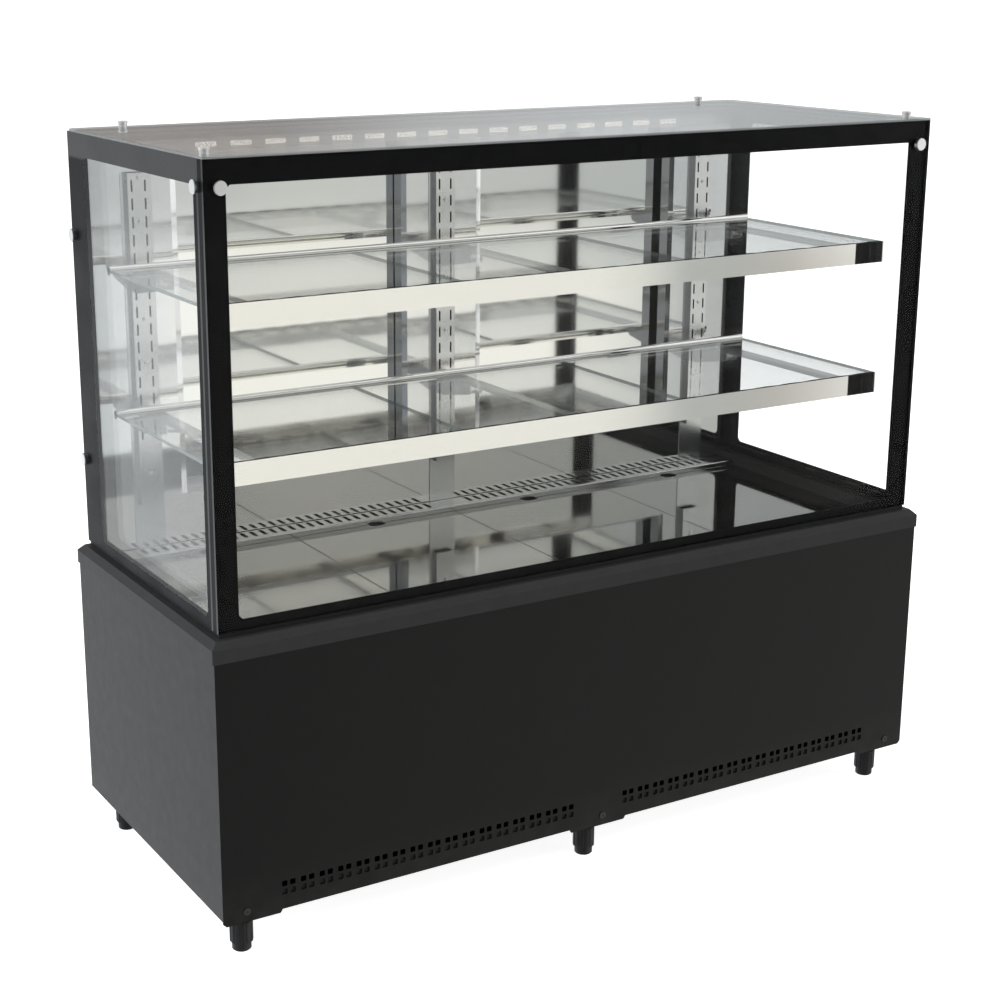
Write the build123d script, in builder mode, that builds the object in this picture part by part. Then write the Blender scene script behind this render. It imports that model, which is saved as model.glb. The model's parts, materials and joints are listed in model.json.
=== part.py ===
from build123d import *
import os

# Refrigerated deli case: a glass box with two glass shelves on a closed base.
# Millimetres. X to the right, Y to the back, Z up; the origin is on the floor
# under the middle of the footprint, and the customer side faces -Y.

# ------------------------------------------------------------------ overall
CASE_W, CASE_D = 1500.0, 623.0        # outside of the ledge
BODY_W, BODY_D = 1494.0, 617.0        # outside of the base cladding
BOX_W, BOX_D = 1462.0, 585.0          # outside of the glass box, less its rear overhang
BODY_Z = 81.0                         # underside of the base
LEDGE_Z0, LEDGE_Z1 = 531.5, 566.0     # ledge, bottom and top
PANE_Z0, PANE_Z1 = 574.0, 1318.0      # side and front glass, bottom and top
TOP_T = 4.0                           # top glass
SHEET = 1.6                           # cladding sheet

# ------------------------------------------------------------------ glazing
FRONT_PANE, FRONT_GAP = 6.0, 14.0     # each pane, and the gap between the two
SIDE_PANE, SIDE_GAP = 5.0, 10.0
FRONT_T = 2 * FRONT_PANE + FRONT_GAP
SIDE_T = 2 * SIDE_PANE + SIDE_GAP
BOX_X, BOX_Y = BOX_W / 2, BOX_D / 2
BOX_BACK = 298.0                      # rear edge of the side and top glass
INNER_X = BOX_X - SIDE_T              # inner face of the side glass
INNER_Y = -BOX_Y + FRONT_T            # inner face of the front glass
BORDER_SIDE, BORDER_TOP, BORDER_LOW = 39.0, 40.0, 17.0
SIDE_WINDOW = ((-254.0, 592.0), (221.0, 1278.0))                   # y, z corners
PRINT_T, SPACER_W = 0.6, 12.0         # black print, and the spacer between the panes
WINDOW_CHAMFER = 7.0
CLAMP_R, CLAMP_HEAD, CLAMP_NECK_R, CLAMP_H, CLAMP_STUD_R = 8.8, 4.5, 7.6, 10.0, 4.0
FRONT_CLAMP, REAR_CLAMP = (709.5, -251.0), (634.5, 281.0)
CORNER_BLOCK_X, CORNER_BLOCK_Y, CORNER_BLOCK_Z = 38.0, 32.0, 26.0
TOP_GLASS_R = 15.0                    # its rear corners
CAP_R, CAP_H = 11.5, 7.5
FRONT_CAP_X, FRONT_CAP_Z = 705.5, 1275.0
SIDE_CAPS = [(-267.0, 1276.0), (286.0, 1138.0), (286.0, 731.0)]   # y, z

# ----------------------------------------------------------------- interior
DECK_Z, DECK_SHEET, DECK_FLANGE = 544.0, 1.5, 11.0
DECK_Y0, DECK_Y1, DECK_HALF = INNER_Y + 1.5, 206.0, 709.0
DECK_COUNT, DECK_GAP = 4, 1.0
GRILLE_Z, GRILLE_Y0, GRILLE_Y1 = 555.0, 207.5, 256.0
SLOT_PITCH, SLOT_COUNT, SLOT_FIRST, SLOT_W, SLOT_L = 20.0, 31, 48.0, 8.5, 32.0
WALL_Y, REAR_Y = 257.5, 311.0         # front and back of the rear sill
SILL_Z = 648.0
COLUMN_HALF, COLUMN_BACK, COLUMN_INNER_X = 89.0, 286.0, 549.0
HEADER_Z0, HEADER_Y0, JAMB_X = 1275.0, 262.0, 697.0
STANDARD_X, STANDARD_Y, STANDARD_Z0, STANDARD_Z1 = 625.0, 244.0, 640.0, 1244.5
STANDARD_W, STANDARD_BASE_W = 40.0, 58.0
HOOK_PITCH, HOOK_W, HOOK_H, HOOK_SPACING = 32.0, 3.5, 20.0, 25.0

# ------------------------------------------------------------------ shelves
SHELF_TOP = {"lower": 830.0, "upper": 1086.0}    # top of the shelf glass
SHELF_GLASS_T, SHELF_PANES = 6.0, 3
STRIP_Y, STRIP_H, STRIP_DEPTH, STRIP_HALF = -221.0, 39.5, 21.0, 702.0
RAIL_Y, RAIL_R, RAIL_FOOT, RAIL_DROP, RAIL_HALF = 195.0, 7.0, 10.0, 9.0, 705.0

# -------------------------------------------------------------------- doors
DOOR_T, DOOR_W, STILE = 9.0, 715.0, 24.0
DOOR_Z0, DOOR_Z1 = 652.5, 1291.0
DOOR_Y = {"left": 289.0, "right": 300.0}         # front face of each door
TRACK_FLOOR, TRACK_Z1, GROOVE_SLACK = 651.0, 662.0, 0.5

# --------------------------------------------------------------------- base
FOOT_X, FOOT_Y_FRONT, FOOT_Y_REAR = 696.0, -264.0, 266.0
TUB_X, TUB_Y0, TUB_Y1, TUB_Z0, TUB_Z1, FOAM = 709.5, -265.0, 256.5, 345.0, 533.0, 35.0
FRAME_X, FRAME_Y, ANGLE, ANGLE_T = 743.0, 305.0, 30.0, 3.0
TAB_Z, TAB_DROP, CENTRE_TAB, CORNER_TAB = 71.0, 6.0, 58.0, 104.0
VENT_CLUSTERS, VENT_PITCH, VENT_X, VENT_Z = 17, 35.0, 347.0, 115.5
SERVICE_X, SERVICE_HALF, SERVICE_Z0, SERVICE_Z1 = -6.0, 606.0, 122.0, 410.0
CONTROL_X, CONTROL_Z, CONTROL_W, CONTROL_H = 662.0, 256.0, 92.0, 144.0
TRAY_HALF, TRAY_Z0, TRAY_Z1 = 180.0, 87.0, 109.0
BUTTON_Z, BUTTON_R, ROCKER_Z = 282.0, 4.0, 222.0
BLOWER_Y, BLOWER_Z, BLOWER_HALF = 112.0, 452.0, 200.0
CONDENSER_X, CONDENSER_Y, CONDENSER_Z, FAN_R = -450.0, -200.0, 205.0, 92.0

FOOT_PLACES = {
    "front_left": (-FOOT_X, FOOT_Y_FRONT),
    "front_centre": (0.0, FOOT_Y_FRONT),
    "front_right": (FOOT_X, FOOT_Y_FRONT),
    "rear_left": (-FOOT_X, FOOT_Y_REAR),
    "rear_centre": (0.0, FOOT_Y_REAR),
    "rear_right": (FOOT_X, FOOT_Y_REAR),
}

TO_FRONT, TO_BACK = (90, 0, 0), (-90, 0, 0)      # turns of a rod built along +Z
TO_RIGHT, TO_LEFT = (0, 90, 0), (0, -90, 0)


def block(low, high, mode=Mode.ADD):
    """A box between two corners, in the active part."""
    size = [b - a for a, b in zip(low, high)]
    with Locations(tuple(low)):
        Box(*size, align=(Align.MIN, Align.MIN, Align.MIN), mode=mode)


def rod(center, radius, length, turn=(0, 0, 0), mode=Mode.ADD):
    """A cylinder that starts at center and runs along its turned +Z."""
    base = (Align.CENTER, Align.CENTER, Align.MIN)
    with Locations(Location(center, turn)):
        Cylinder(radius, length, align=base, mode=mode)


def frame_sketch(width, depth, wall):
    """A rectangular outline of constant wall, in the active sketch."""
    Rectangle(width, depth)
    Rectangle(width - 2 * wall, depth - 2 * wall, mode=Mode.SUBTRACT)


def save(part, label):
    """Label a finished piece and write its STEP file."""
    part.label = label
    export_step(part, f"parts/{label}.step")


os.makedirs("parts", exist_ok=True)

# ================================================================ the base
# Welded frame of steel angle: three rings joined by corner and middle posts.
FRAME_Z0, FRAME_Z1, BEARER_Z0 = 83.0, 531.0, 330.0
RINGS = [(FRAME_Z0, FRAME_Z0 + ANGLE), (BEARER_Z0, TUB_Z0), (FRAME_Z1 - ANGLE, FRAME_Z1)]
POST_H, BEARER_HALF = FRAME_Z1 - FRAME_Z0, 15.0
with BuildPart() as chassis_frame:
    for z0, z1 in RINGS:
        with BuildSketch(Plane.XY.offset(z0)):
            frame_sketch(2 * FRAME_X, 2 * FRAME_Y, ANGLE_T)
        extrude(amount=z1 - z0)
    for z0 in (FRAME_Z0, FRAME_Z1 - ANGLE_T):
        with BuildSketch(Plane.XY.offset(z0)):
            frame_sketch(2 * FRAME_X, 2 * FRAME_Y, ANGLE)
        extrude(amount=ANGLE_T)
    for sy in (-1, 1):
        for sx in (-1, 1):
            corner = (sx * FRAME_X, sy * FRAME_Y)
            leg_x = (corner[0] - sx * ANGLE / 2, corner[1] - sy * ANGLE_T / 2)
            leg_y = (corner[0] - sx * ANGLE_T / 2, corner[1] - sy * ANGLE / 2)
            with BuildSketch(Plane.XY.offset(FRAME_Z0)):
                with Locations(leg_x):
                    Rectangle(ANGLE, ANGLE_T)
                with Locations(leg_y):
                    Rectangle(ANGLE_T, ANGLE)
            extrude(amount=POST_H)
        with BuildSketch(Plane.XY.offset(FRAME_Z0)):
            with Locations((0, sy * (FRAME_Y - ANGLE_T / 2))):
                Rectangle(2 * ANGLE, ANGLE_T)
        extrude(amount=POST_H)
    for x in (-450.0, 0.0, 450.0):
        block((x - BEARER_HALF, -FRAME_Y + 1, BEARER_Z0), (x + BEARER_HALF, FRAME_Y - 1, TUB_Z0))
    # gap for the condensate tray at the rear, below the middle post
    block((-TRAY_HALF - 6, 290, 86), (TRAY_HALF + 6, 320, 116), mode=Mode.SUBTRACT)
save(chassis_frame.part, "chassis_frame")

# Floor of the machine space, with two fields of air slots behind the machinery.
TRAY_SLOTS, TRAY_SLOT_L, TRAY_SLOT_W, TRAY_SLOT_PITCH = [(-450, 150), (560, 150)], 120.0, 12.0, 40.0
with BuildPart() as base_tray:
    with BuildSketch(Plane.XY.offset(BODY_Z)):
        Rectangle(BODY_W - 4, BODY_D - 4)
        with Locations(*TRAY_SLOTS):
            with GridLocations(TRAY_SLOT_PITCH, 0, 7, 1):
                SlotOverall(TRAY_SLOT_L, TRAY_SLOT_W, rotation=90, mode=Mode.SUBTRACT)
        with Locations(*FOOT_PLACES.values()):
            Circle(7, mode=Mode.SUBTRACT)
    extrude(amount=2)
    for sx in (-1, 1):
        xs = sorted([sx * (TRAY_HALF - 12), sx * (TRAY_HALF + 4)])
        block((xs[0], 20, BODY_Z + 2), (xs[1], 270, TRAY_Z0 - 0.1))
save(base_tray.part, "base_tray")

# Front cladding: one folded sheet with two fields of square air holes, and
# tabs at the corners and the middle that reach below its lower edge.
FRONT_Y = -BODY_D / 2
with BuildPart() as front_panel:
    edge_z, half = TAB_Z + TAB_DROP, BODY_W / 2
    with BuildSketch(Plane.XZ.offset(-FRONT_Y)):
        with BuildLine():
            Polyline((0, TAB_Z), (CENTRE_TAB, TAB_Z), (CENTRE_TAB + 4, edge_z),
                     (half - CORNER_TAB - 4, edge_z), (half - CORNER_TAB, TAB_Z),
                     (half - 6, TAB_Z), (half, edge_z), (half, LEDGE_Z0), (0, LEDGE_Z0))
            mirror(about=Plane.YZ)
        make_face()
        with Locations((-VENT_X, VENT_Z), (VENT_X, VENT_Z)):
            with GridLocations(VENT_PITCH, 0, VENT_CLUSTERS, 1):
                with GridLocations(15, 15, 2, 2):
                    RectangleRounded(10, 10, 2, mode=Mode.SUBTRACT)
    extrude(amount=-SHEET)
    for sx in (-1, 1):
        xs = sorted([sx * (CENTRE_TAB + 6), sx * (half - CORNER_TAB - 6)])
        block((xs[0], FRONT_Y, edge_z), (xs[1], FRONT_Y + 12, edge_z + 1.5))
save(front_panel.part, "front_panel")

# Two plain side sheets.
with BuildPart() as side_panels:
    for sx in (-1, 1):
        x_out, x_in = sx * BODY_W / 2, sx * (BODY_W / 2 - SHEET)
        block((min(x_out, x_in), FRONT_Y + SHEET, BODY_Z),
              (max(x_out, x_in), BODY_D / 2, LEDGE_Z0))
save(side_panels.part, "side_panels")

# Rear sheet: a large opening for the service panel, one for the condensate
# tray and one for the controls.
REAR_FACE = BODY_D / 2
with BuildPart() as rear_panel:
    with BuildSketch(Plane.XZ.offset(-REAR_FACE)):
        with Locations((0, (BODY_Z + LEDGE_Z0) / 2)):
            Rectangle(BODY_W - 2 * SHEET - 0.6, LEDGE_Z0 - BODY_Z)
        with Locations((SERVICE_X, (SERVICE_Z0 + SERVICE_Z1) / 2)):
            Rectangle(2 * SERVICE_HALF - 24, SERVICE_Z1 - SERVICE_Z0 - 24, mode=Mode.SUBTRACT)
        with Locations((0, (TRAY_Z0 + TRAY_Z1) / 2)):
            Rectangle(2 * TRAY_HALF + 4, TRAY_Z1 - TRAY_Z0 + 4, mode=Mode.SUBTRACT)
        with Locations((CONTROL_X, CONTROL_Z)):
            Rectangle(CONTROL_W - 8, CONTROL_H - 8, mode=Mode.SUBTRACT)
    extrude(amount=SHEET)
save(rear_panel.part, "rear_panel")

# Lift-off service panel with rows of louvre slots and a folded-in rim.
with BuildPart() as service_panel:
    width, height = 2 * SERVICE_HALF, SERVICE_Z1 - SERVICE_Z0
    middle = (SERVICE_X, (SERVICE_Z0 + SERVICE_Z1) / 2)
    with BuildSketch(Plane.XZ.offset(-REAR_FACE)):
        with Locations(middle):
            RectangleRounded(width, height, 6)
            with GridLocations(84, 22, 13, 9):
                SlotOverall(66, 7, mode=Mode.SUBTRACT)
    extrude(amount=-2)
    with BuildSketch(Plane.XZ.offset(-REAR_FACE)):
        with Locations(middle):
            frame_sketch(width - 28, height - 28, 1.5)
    extrude(amount=3)
    # quarter-turn studs along the top and bottom edges
    for x in (-560.0, -186.0, 186.0, 560.0):
        for z in (SERVICE_Z0 + 7, SERVICE_Z1 - 7):
            rod((SERVICE_X + x, REAR_FACE + 2, z), 5, 0.8, TO_BACK)
save(service_panel.part, "service_panel")

# Ledge: a folded ring around the foot of the glass, chamfered on its outside.
LEDGE_CHAMFER, LEDGE_WALL = 11.0, 2.0
OPEN_Y1 = WALL_Y + 1.7
with BuildPart() as ledge_rim:
    with BuildSketch(Plane.XY.offset(LEDGE_Z0)):
        Rectangle(CASE_W, CASE_D)
    extrude(amount=LEDGE_Z1 - LEDGE_Z0)
    chamfer(ledge_rim.faces().sort_by(Axis.Z)[-1].edges(), LEDGE_CHAMFER)
    slanted = [e for e in ledge_rim.edges() if abs(e.tangent_at(0).Z) > 0.1]
    fillet(slanted, 3)
    # hollow from below, in two steps under the chamfer
    for step, z1 in [(LEDGE_WALL, LEDGE_Z1 - LEDGE_CHAMFER - LEDGE_WALL),
                     (LEDGE_CHAMFER + LEDGE_WALL, LEDGE_Z1 - LEDGE_WALL)]:
        with BuildSketch(Plane.XY.offset(LEDGE_Z0)):
            RectangleRounded(CASE_W - 2 * step, CASE_D - 2 * step, 2)
            with Locations((0, (INNER_Y + OPEN_Y1) / 2)):
                Rectangle(2 * (INNER_X + LEDGE_WALL), OPEN_Y1 - INNER_Y + 2 * LEDGE_WALL,
                          mode=Mode.SUBTRACT)
        extrude(amount=z1 - LEDGE_Z0, mode=Mode.SUBTRACT)
    block((-INNER_X, INNER_Y, LEDGE_Z0), (INNER_X, OPEN_Y1, LEDGE_Z1), mode=Mode.SUBTRACT)
save(ledge_rim.part, "ledge_rim")

# Black rubber bed under the front and side glass, set in from their faces.
BED_INSET = 2.5
with BuildPart() as glass_gasket:
    block((-BOX_X + BED_INSET, -BOX_Y + BED_INSET, LEDGE_Z1),
          (BOX_X - BED_INSET, INNER_Y - BED_INSET, PANE_Z0))
    for sx in (-1, 1):
        xs = sorted([sx * (BOX_X - BED_INSET), sx * (INNER_X + BED_INSET)])
        block((xs[0], INNER_Y - BED_INSET - 1, LEDGE_Z1), (xs[1], BOX_BACK - BED_INSET, PANE_Z0))
save(glass_gasket.part, "glass_gasket")

# Zinc-plated foot mounts: a bolted flange and a threaded boss for each foot.
STUD_R, STUD_CLEARANCE, STUD_TOP, BOSS_Z, COLLAR_Z = 5.0, 0.08, 86.0, 55.0, 16.0
with BuildPart() as foot_mounts:
    for x, y in FOOT_PLACES.values():
        with BuildSketch(Plane.XY.offset(BODY_Z - 3)):
            with Locations((x, y)):
                RectangleRounded(70, 60, 8)
        extrude(amount=3)
        rod((x, y, BOSS_Z), 17, BODY_Z - BOSS_Z)
        rod((x, y, BOSS_Z), STUD_R + STUD_CLEARANCE, BODY_Z - BOSS_Z, mode=Mode.SUBTRACT)
save(foot_mounts.part, "foot_mounts")

# Levelling feet: a fluted collar on a round pad, with a stud in the boss.
for place, (x, y) in FOOT_PLACES.items():
    with BuildPart() as levelling_foot:
        with BuildSketch(Plane.XY.offset(COLLAR_Z)):
            with Locations((x, y)):
                Circle(20)
                with PolarLocations(21.5, 12):
                    Circle(2.6, mode=Mode.SUBTRACT)
        extrude(amount=BOSS_Z - COLLAR_Z - 0.5)
        with BuildSketch(Plane.XY):
            with Locations((x, y)):
                Circle(16.5)
        extrude(amount=COLLAR_Z)
        chamfer(levelling_foot.faces().sort_by(Axis.Z)[0].edges(), 2)
        rod((x, y, COLLAR_Z), STUD_R, STUD_TOP - COLLAR_Z)
    save(levelling_foot.part, f"foot_{place}")

# =============================================================== the glass
# Front double glazing: two panes.
with BuildPart() as front_glass:
    for y in (-BOX_Y, INNER_Y - FRONT_PANE):
        block((-BOX_X, y, PANE_Z0), (BOX_X, y + FRONT_PANE, PANE_Z1))
save(front_glass.part, "front_glass")


def window_border(outer_low, outer_high, inner_low, inner_high):
    """A flat border with a window whose corners are cut, in the active sketch."""
    with Locations(((outer_low[0] + outer_high[0]) / 2, (outer_low[1] + outer_high[1]) / 2)):
        Rectangle(outer_high[0] - outer_low[0], outer_high[1] - outer_low[1])
    cut = WINDOW_CHAMFER
    (u0, v0), (u1, v1) = inner_low, inner_high
    Polygon((u0 + cut, v0), (u1 - cut, v0), (u1, v0 + cut), (u1, v1 - cut),
            (u1 - cut, v1), (u0 + cut, v1), (u0, v1 - cut), (u0, v0 + cut),
            align=None, mode=Mode.SUBTRACT)


# Black print on the back of the outer pane, and the spacer that parts the panes.
pane_h, pane_mid_z = PANE_Z1 - PANE_Z0, (PANE_Z0 + PANE_Z1) / 2
with BuildPart() as front_glass_border:
    with BuildSketch(Plane.XZ.offset(BOX_Y - FRONT_PANE)):
        window_border((-BOX_X, PANE_Z0), (BOX_X, PANE_Z1),
                      (-BOX_X + BORDER_SIDE, PANE_Z0 + BORDER_LOW),
                      (BOX_X - BORDER_SIDE, PANE_Z1 - BORDER_TOP))
    extrude(amount=-PRINT_T)
    with BuildSketch(Plane.XZ.offset(BOX_Y - FRONT_PANE)):
        with Locations((0, pane_mid_z)):
            frame_sketch(BOX_W, pane_h, SPACER_W)
    extrude(amount=-FRONT_GAP)
save(front_glass_border.part, "front_glass_border")

# Side double glazing, left and right: the print lies flush in the outer face.
SIDE_PRINT_X = (-BOX_X, BOX_X - PRINT_T)
with BuildPart() as side_glass_borders:
    for x in SIDE_PRINT_X:
        with BuildSketch(Plane.YZ.offset(x)):
            window_border((INNER_Y, PANE_Z0), (BOX_BACK, PANE_Z1), *SIDE_WINDOW)
        extrude(amount=PRINT_T)
    for x in (-BOX_X + SIDE_PANE, INNER_X + SIDE_PANE):
        with BuildSketch(Plane.YZ.offset(x)):
            with Locations(((INNER_Y + BOX_BACK) / 2, pane_mid_z)):
                frame_sketch(BOX_BACK - INNER_Y, pane_h, SPACER_W)
        extrude(amount=SIDE_GAP)
save(side_glass_borders.part, "side_glass_borders")

with BuildPart() as side_glass:
    for x in (-BOX_X, -INNER_X - SIDE_PANE, INNER_X, BOX_X - SIDE_PANE):
        block((x, INNER_Y, PANE_Z0), (x + SIDE_PANE, BOX_BACK, PANE_Z1))
    for x in SIDE_PRINT_X:
        with BuildSketch(Plane.YZ.offset(x)):
            window_border((INNER_Y, PANE_Z0), (BOX_BACK, PANE_Z1), *SIDE_WINDOW)
        extrude(amount=PRINT_T, mode=Mode.SUBTRACT)
save(side_glass.part, "side_glass")

# Top glass, rounded at the rear corners and drilled for the four clamps.
CLAMPS = [(sx * x, y) for x, y in (FRONT_CLAMP, REAR_CLAMP) for sx in (-1, 1)]
TOP_Z = PANE_Z1 + TOP_T
with BuildPart() as top_glass:
    with BuildSketch(Plane.XY.offset(PANE_Z1)):
        with Locations((0, (BOX_BACK - BOX_Y) / 2)):
            Rectangle(BOX_W, BOX_BACK + BOX_Y)
        with Locations(*CLAMPS):
            Circle(CLAMP_STUD_R + 0.5, mode=Mode.SUBTRACT)
    extrude(amount=TOP_T)
    fillet(top_glass.edges().filter_by(Axis.Z).group_by(Axis.Y)[-1], TOP_GLASS_R)
save(top_glass.part, "top_glass")

# Four round clamps hold the top glass; the front two end in corner blocks.
with BuildPart() as glass_clamps:
    for x, y in CLAMPS:
        rod((x, y, TOP_Z), CLAMP_NECK_R, CLAMP_H)
        rod((x, y, TOP_Z + CLAMP_H - CLAMP_HEAD), CLAMP_R, CLAMP_HEAD)
        rod((x, y, PANE_Z1), CLAMP_STUD_R, TOP_T)
        if y < 0:
            edge = INNER_X if x > 0 else -INNER_X + CORNER_BLOCK_X
            block((edge - CORNER_BLOCK_X, INNER_Y, PANE_Z1 - CORNER_BLOCK_Z),
                  (edge, INNER_Y + CORNER_BLOCK_Y, PANE_Z1))
    chamfer(glass_clamps.faces().filter_by(Axis.Z).group_by(Axis.Z)[-1].edges(), 1)
save(glass_clamps.part, "glass_clamps")

# Round caps over the screws that hold the front and side glass.
with BuildPart() as glass_caps:
    for sx in (-1, 1):
        rod((sx * FRONT_CAP_X, -BOX_Y, FRONT_CAP_Z), CAP_R, CAP_H, TO_FRONT)
        for y, z in SIDE_CAPS:
            rod((sx * BOX_X, y, z), CAP_R, CAP_H, TO_LEFT if sx < 0 else TO_RIGHT)
    rims = glass_caps.edges().filter_by(GeomType.CIRCLE)
    outer = [e for e in rims if abs(e.center().Y + BOX_Y + CAP_H) < 0.1
             or abs(abs(e.center().X) - BOX_X - CAP_H) < 0.1]
    fillet(outer, 1.5)
save(glass_caps.part, "glass_caps")

# ================================================================ rear wall
# Polished sill box below the doors; its front skin hangs inside the ledge.
with BuildPart() as sill_duct:
    block((-INNER_X + 1, WALL_Y, LEDGE_Z1), (INNER_X - 1, REAR_Y, SILL_Z))
    block((-INNER_X + 3, WALL_Y + 1.5, LEDGE_Z1 + 1.5), (INNER_X - 3, REAR_Y - 1.5, SILL_Z - 1.5),
          mode=Mode.SUBTRACT)
    block((-INNER_X + 1, WALL_Y, GRILLE_Z + 1), (INNER_X - 1, WALL_Y + 1.5, LEDGE_Z1))
save(sill_duct.part, "sill_duct")

# Three polished columns. Their free front edges carry a shallow bevelled strip;
# the outer two end square against the side glass.
BEVEL_W, BEVEL_D, COLUMN_WALL, COLUMN_END = 11.0, 2.0, 2.0, INNER_X - 0.5
COLUMNS = {"left": (-COLUMN_END, -COLUMN_INNER_X), "centre": (-COLUMN_HALF, COLUMN_HALF),
           "right": (COLUMN_INNER_X, COLUMN_END)}
with BuildPart() as rear_columns:
    for side, (x0, x1) in COLUMNS.items():
        left_bevel = 0.0 if side == "left" else BEVEL_D
        right_bevel = 0.0 if side == "right" else BEVEL_D
        with BuildSketch(Plane.XY.offset(SILL_Z)):
            with BuildLine():
                Polyline((x0, WALL_Y + left_bevel), (x0 + BEVEL_W, WALL_Y), (x1 - BEVEL_W, WALL_Y),
                         (x1, WALL_Y + right_bevel), (x1, COLUMN_BACK), (x0, COLUMN_BACK), close=True)
            make_face()
            with Locations(((x0 + x1) / 2, (WALL_Y + BEVEL_D + COLUMN_BACK) / 2)):
                Rectangle(x1 - x0 - 2 * COLUMN_WALL, COLUMN_BACK - WALL_Y - BEVEL_D - 2 * COLUMN_WALL,
                          mode=Mode.SUBTRACT)
        extrude(amount=HEADER_Z0 - SILL_Z)
save(rear_columns.part, "rear_columns")

# Slotted standards: a hat section screwed to each column, two slot rows each.
HOOK_ROWS = 15
HOOK_DROP = 24.0                      # from the top of a shelf to the middle of its slots
HOOK_Z_TOP = SHELF_TOP["upper"] - HOOK_DROP + 5 * HOOK_PITCH
STANDARD_T = 1.5
with BuildPart() as shelf_standards:
    for x in (-STANDARD_X, 0.0, STANDARD_X):
        block((x - STANDARD_BASE_W / 2, WALL_Y - STANDARD_T, GRILLE_Z + 0.5),
              (x + STANDARD_BASE_W / 2, WALL_Y, STANDARD_Z1))
        block((x - STANDARD_W / 2, STANDARD_Y, STANDARD_Z0), (x + STANDARD_W / 2, WALL_Y, STANDARD_Z1))
        block((x - STANDARD_W / 2 + STANDARD_T, STANDARD_Y + STANDARD_T, STANDARD_Z0 - 1),
              (x + STANDARD_W / 2 - STANDARD_T, WALL_Y, STANDARD_Z1 + 1), mode=Mode.SUBTRACT)
        middle_z = HOOK_Z_TOP - (HOOK_ROWS - 1) * HOOK_PITCH / 2
        with BuildSketch(Plane.XZ.offset(-STANDARD_Y)):
            with Locations((x, middle_z)):
                with GridLocations(HOOK_SPACING, HOOK_PITCH, 2, HOOK_ROWS):
                    RectangleRounded(HOOK_W, HOOK_H, 0.5)
        extrude(amount=-STANDARD_T, mode=Mode.SUBTRACT)
save(shelf_standards.part, "shelf_standards")

# Aluminium surround of the rear opening: header, two jambs and bottom track,
# with a groove for each of the two door planes.
GROOVES = [(y - GROOVE_SLACK, y + DOOR_T + GROOVE_SLACK) for y in DOOR_Y.values()]
with BuildPart() as door_surround:
    block((-INNER_X, HEADER_Y0, HEADER_Z0), (INNER_X, REAR_Y, PANE_Z1))
    for sx in (-1, 1):
        xs = sorted([sx * JAMB_X, sx * INNER_X])
        block((xs[0], COLUMN_BACK + 0.5, SILL_Z), (xs[1], REAR_Y, HEADER_Z0))
    block((-JAMB_X, COLUMN_BACK + 0.5, SILL_Z), (JAMB_X, REAR_Y, TRACK_Z1))
    for y0, y1 in GROOVES:
        block((-JAMB_X, y0, TRACK_FLOOR), (JAMB_X, y1, TRACK_Z1), mode=Mode.SUBTRACT)
        block((-JAMB_X, y0, HEADER_Z0), (JAMB_X, y1, DOOR_Z1 + 5), mode=Mode.SUBTRACT)
    # lighten the header from above
    block((-JAMB_X, HEADER_Y0 + 3, DOOR_Z1 + 8), (JAMB_X, REAR_Y - 3, PANE_Z1 - 3), mode=Mode.SUBTRACT)
save(door_surround.part, "door_surround")

# Sliding doors: an aluminium frame around a mirrored panel, with a pull cup
# let into the outer stile and four glide shoes.
PANEL_T, SHOE_L, CUP_W, CUP_H, CUP_D, CUP_Z = 5.0, 40.0, 16.0, 110.0, 3.5, 960.0
for side, door_y in DOOR_Y.items():
    sx = -1 if side == "left" else 1
    x_out = sx * (JAMB_X - 1.0)
    x_in = x_out - sx * DOOR_W
    x0, x1 = sorted([x_out, x_in])
    panel = ((x0 + STILE - 8, door_y, DOOR_Z0 + STILE - 8),
             (x1 - STILE + 8, door_y + PANEL_T, DOOR_Z1 - STILE + 8))
    cup_x = x_out - sx * 12.5
    with BuildPart() as door_frame:
        with BuildSketch(Plane.XZ.offset(-door_y)):
            with Locations(((x0 + x1) / 2, (DOOR_Z0 + DOOR_Z1) / 2)):
                frame_sketch(DOOR_W, DOOR_Z1 - DOOR_Z0, STILE)
        extrude(amount=-DOOR_T)
        block(*panel, mode=Mode.SUBTRACT)
        with BuildSketch(Plane.XZ.offset(-door_y - DOOR_T)):
            with Locations((cup_x, CUP_Z)):
                SlotOverall(CUP_H, CUP_W, rotation=90)
        extrude(amount=CUP_D, mode=Mode.SUBTRACT)
    save(door_frame.part, f"{side}_door_frame")

    with BuildPart() as door_mirror:
        block(*panel)
    save(door_mirror.part, f"{side}_door_mirror")

    with BuildPart() as door_fittings:
        with BuildSketch(Plane.XZ.offset(-door_y - DOOR_T)):
            with Locations((cup_x, CUP_Z)):
                SlotOverall(CUP_H, CUP_W, rotation=90)
        extrude(amount=CUP_D)
        with BuildSketch(Plane.XZ.offset(-door_y - DOOR_T)):
            with Locations((cup_x, CUP_Z)):
                SlotOverall(CUP_H - 4, CUP_W - 4, rotation=90)
        extrude(amount=CUP_D - 1, mode=Mode.SUBTRACT)
        for x in (x0 + 60, x1 - 60 - SHOE_L):
            block((x, door_y + 1, TRACK_FLOOR), (x + SHOE_L, door_y + DOOR_T - 1, DOOR_Z0))
            block((x, door_y + 1, DOOR_Z1), (x + SHOE_L, door_y + DOOR_T - 1, DOOR_Z1 + 1.5))
    save(door_fittings.part, f"{side}_door_fittings")

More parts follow.
